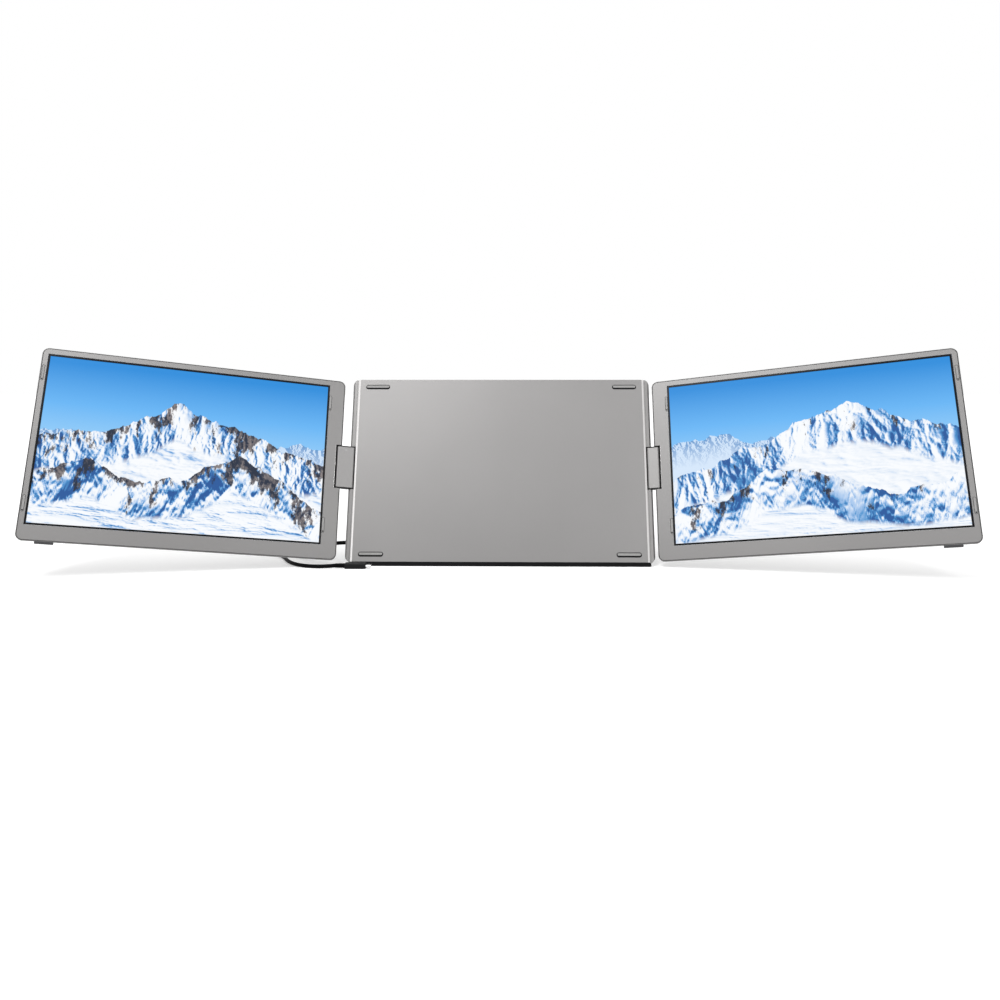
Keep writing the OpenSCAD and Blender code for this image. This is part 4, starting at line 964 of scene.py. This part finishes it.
def make_display(side):
    """The panel, with the picture laid over its front by UV."""
    bm = picture_box(BORDER_W - SET_GAP, LCD_BACK, LCD_BACK + LCD_T)
    layer = bm.loops.layers.uv.new("picture")
    for face in bm.faces:
        for loop in face.loops:
            across = (loop.vert.co.x - PICTURE_X) / PICTURE_W
            up = (loop.vert.co.z - PICTURE_Z) / PICTURE_H
            loop[layer].uv = (across if side == RIGHT else 1 - across, up)
    add_to_screen(side, "display", bm, PICTURES[side], "lcd")


def make_bumpers(side):
    bumpers = joined(*[pill(x, z, BUMPER_L, BUMPER_W, -BUMPER_H, SEAT_D, EDGE["bumper"], "Z")
                       for x, z in BUMPERS])
    spots = [(x, z - BUMPER_L / 2 + DIMPLE_IN) for x, z in BUMPERS]
    dimples = joined(*[rod((x, -BUMPER_H, z), *DIMPLE, "Y", 20) for x, z in spots])
    # painted shade: the dimples near-black
    holes = [painted_shade_in((x - DIMPLE_BOX, -BUMPER_H, z - DIMPLE_BOX),
                    (x + DIMPLE_BOX, BUMPER_H / 2, z + DIMPLE_BOX)) for x, z in spots]
    add_to_screen(side, "screen_bumpers", combined(bumpers, dimples), GREY_RUBBER, "bumpers",
                  holes)


def make_foot_pad(side):
    bm = plaque(FOOT_PAD_X - FOOT_PAD_L / 2, FOOT_PAD_X + FOOT_PAD_L / 2, LOW_Z - FOOT_PAD_H,
                LOW_Z, FOOT_PAD_Y - FOOT_PAD_W / 2, FOOT_PAD_Y + FOOT_PAD_W / 2)
    ease(bm, EDGE["foot_pad"], where=lambda p: p.z < LOW_Z - 0.1)
    add_to_screen(side, "foot_rubber", bm, FOOT_RUBBER, "foot_pad")


def make_cover_screws(side):
    add_to_screen(side, "screw_heads", screw_heads(COVER_SCREWS, SCREEN_T), SCREW_STEEL,
                  "cover_screws")


def make_buttons(side):
    """Each button's cap has a flange that keeps it behind the cover."""
    name = SIDE_NAME[side]
    for job, x in BUTTONS.items():
        cap = rod((x, (COVER_IN + SCREEN_T) / 2 - BUTTON_SUNK, BUTTON_Z), BUTTON_R,
                  SCREEN_T - COVER_IN + BUTTON_GROW, "Y", 40)
        ease(cap, EDGE["button"], where=lambda p: p.y > SCREEN_T - BUTTON_TOP)
        flange = rod((x, COVER_IN - FLANGE_SUNK, BUTTON_Z), BUTTON_R + FLANGE_W, FLANGE_T, "Y", 40)
        button = combined(cap, flange, "UNION")
        add_piece(f"{name}_{job}_cap", button, screen_frame(side), PLASTIC,
                  f"{name}_{job}_button", [f"{name}_{job}_button"])


# ------------------------------------------------------------- the lead's ends


def upright(point):
    """The hub plug stands with its width up the plate."""
    return PLATE @ Matrix.Translation(point) @ Matrix.Rotation(math.pi / 2, 4, "X")


PLUGS = {
    "hub": upright((-CORE_W / 2 - SET_GAP - GRIP_L, PORT_Y, PORT_Z)),
    "laptop": Matrix.Translation((PLUG_X, PLUG_Y, GRIP_T / 2)),
}


def make_plug(name, place):
    """A moulded grip and its ribbed sleeve, the tip being the CAD's own."""
    grip = plaque(0, GRIP_L, -GRIP_T / 2, GRIP_T / 2, -GRIP_W / 2, GRIP_W / 2)
    ease(grip, EDGE["grip"], 5, where=lambda p: HAIR < p.x < GRIP_L - HAIR)
    ease(grip, EDGE["grip_ends"], sharp=50)
    body = add_piece(name + "_plug_body", grip, place, PLASTIC, "root", [name + "_plug_grip"])
    sleeve = bmesh.new()
    rib = SLEEVE_L / SLEEVE_RIBS
    profile = [(0, 0)]
    for k in range(SLEEVE_RIBS):
        x = k * rib
        radius = CORD_R + SLEEVE_WALL * (1 + (k + 1) / SLEEVE_RIBS)
        profile += [(x, radius), (x + rib * RIB_END, radius), (x + rib * GROOVE_START, CORD_R),
                    (x + rib * GROOVE_END, CORD_R)]
    profile += [(SLEEVE_L, profile[-1][1]), (SLEEVE_L, 0)]
    verts = [sleeve.verts.new((x - SLEEVE_L, r, 0)) for x, r in profile]
    edges = [sleeve.edges.new(pair) for pair in zip(verts, verts[1:])]
    bmesh.ops.spin(sleeve, geom=verts + edges, cent=(0, 0, 0), axis=(1, 0, 0),
                   angle=2 * math.pi, steps=32, use_merge=True)
    bmesh.ops.remove_doubles(sleeve, verts=sleeve.verts, dist=MERGE)
    bmesh.ops.recalc_face_normals(sleeve, faces=sleeve.faces)
    relief = add_piece(name + "_cord_sleeve", sleeve, place, JACKET, "root", [name + "_sleeve"])
    return [body, relief]


# -------------------------------------------------------------------- assembly

make_front_panel()
make_shell()
make_foot_strip()
make_front_pads()
make_shell_screws()
make_kickstand()
make_kickstand_foot()
for each in (LEFT, RIGHT):
    make_block(each)
    make_frame(each)
    make_cover(each)
    make_display(each)
    make_bumpers(each)
    make_foot_pad(each)
    make_cover_screws(each)
    make_buttons(each)

plug_pieces = []
for plug_name, plug_place in PLUGS.items():
    plug_pieces += make_plug(plug_name, plug_place)
    plug_pieces.append(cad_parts[plug_name + "_plug_tip"])
usb_lead.data.materials.append(JACKET)

NODE_FINISH = dict.fromkeys(
    ("stiffener", "hub_ports", "stand_pins", "hub_plug_tip", "laptop_plug_tip"), STEEL)
NODE_FINISH["hub_board"] = BOARD
for each in SIDE_NAME.values():
    NODE_FINISH.update({
        each + "_plate_pin": STEEL, each + "_screen_pin": STEEL, each + "_hinge_washers": PLASTIC,
        each + "_grub_screw": SCREW_STEEL, each + "_border": FILM, each + "_backlight": WHITE,
        each + "_driver_board": BOARD,
    })
for node, finish in NODE_FINISH.items():
    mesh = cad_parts[node].data
    mesh.materials.clear()
    mesh.materials.append(finish)

# ----------------------------------------------------------------------- stage


FLOOR_HALF, PAPER = 30, (0.8, 0.82)
GLOW_NEAR, GLOW_FAR = (0.8, 0.42), (2.6, 0.95)  # metres from the object, strength
WORLD_SEEN, WORLD_LIGHT = 1.0, 0.4
LAMPS = {                                       # place, target, size in m, power in W
    "key_light": ((-0.7, -1.45, 2.2), (-0.1, 0, 0.15), (0.9, 0.9), 30),
    "strip_light": ((0.72, -1.4, 1.3), (0, 0, 0.1), (0.22, 0.9), 6),
    "top_light": ((0, 0.4, 2.2), (0, 0, 0), (2.4, 1.6), 26),
}


def make_floor():
    """White paper that keeps the object's shadow; its glow is only seen, and lights nothing."""
    n = new_material("paper_floor")
    point = n.object_point()
    tint = n.ramp(n.noise(point, 3.0), [(0.4, grey(PAPER[0])), (0.6, grey(PAPER[1]))])
    paper = n.add("ShaderNodeBsdfDiffuse", {"Color": tint})
    away = n.add("ShaderNodeVectorMath", {0: point}, out=1, operation="LENGTH")
    far = n.add("ShaderNodeMapRange", {
        "Value": away, "From Min": GLOW_NEAR[0], "From Max": GLOW_FAR[0],
        "To Min": GLOW_NEAR[1], "To Max": GLOW_FAR[1]})
    glow = n.add("ShaderNodeEmission", {
        "Color": grey(1), "Strength": n.math("MULTIPLY", n.looked_at(), far)})
    n.feed(n.out.inputs[0], n.add("ShaderNodeAddShader", {0: paper, 1: glow}))
    bm = bmesh.new()
    bmesh.ops.create_grid(bm, x_segments=2, y_segments=2, size=FLOOR_HALF)
    mesh = as_mesh("floor", bm)
    mesh.materials.append(n.owner)
    floor = new_object("floor", mesh)


def make_world():
    """Plain white where it is seen, and a soft light on everything else."""
    world = bpy.data.worlds.new("studio")
    bpy.context.scene.world = world
    n = Nodes(world, "ShaderNodeOutputWorld")
    light, shown = (n.add("ShaderNodeBackground", {"Color": grey(1), "Strength": strength})
                    for strength in (WORLD_LIGHT, WORLD_SEEN))
    n.feed(n.out.inputs[0], n.add("ShaderNodeMixShader", {0: n.looked_at(), 1: light, 2: shown}))


def make_lamp(name, place, target, size, power):
    data = bpy.data.lights.new(name, "AREA")
    data.shape, data.size, data.size_y, data.energy = "RECTANGLE", size[0], size[1], power
    lamp = new_object(name, data)
    lamp.location = place
    lamp.rotation_euler = (Vector(target) - Vector(place)).to_track_quat("-Z", "Y").to_euler()


make_floor()
make_world()
for lamp_name, lamp_settings in LAMPS.items():
    make_lamp(lamp_name, *lamp_settings)
bpy.context.scene.view_settings.view_transform = "Standard"
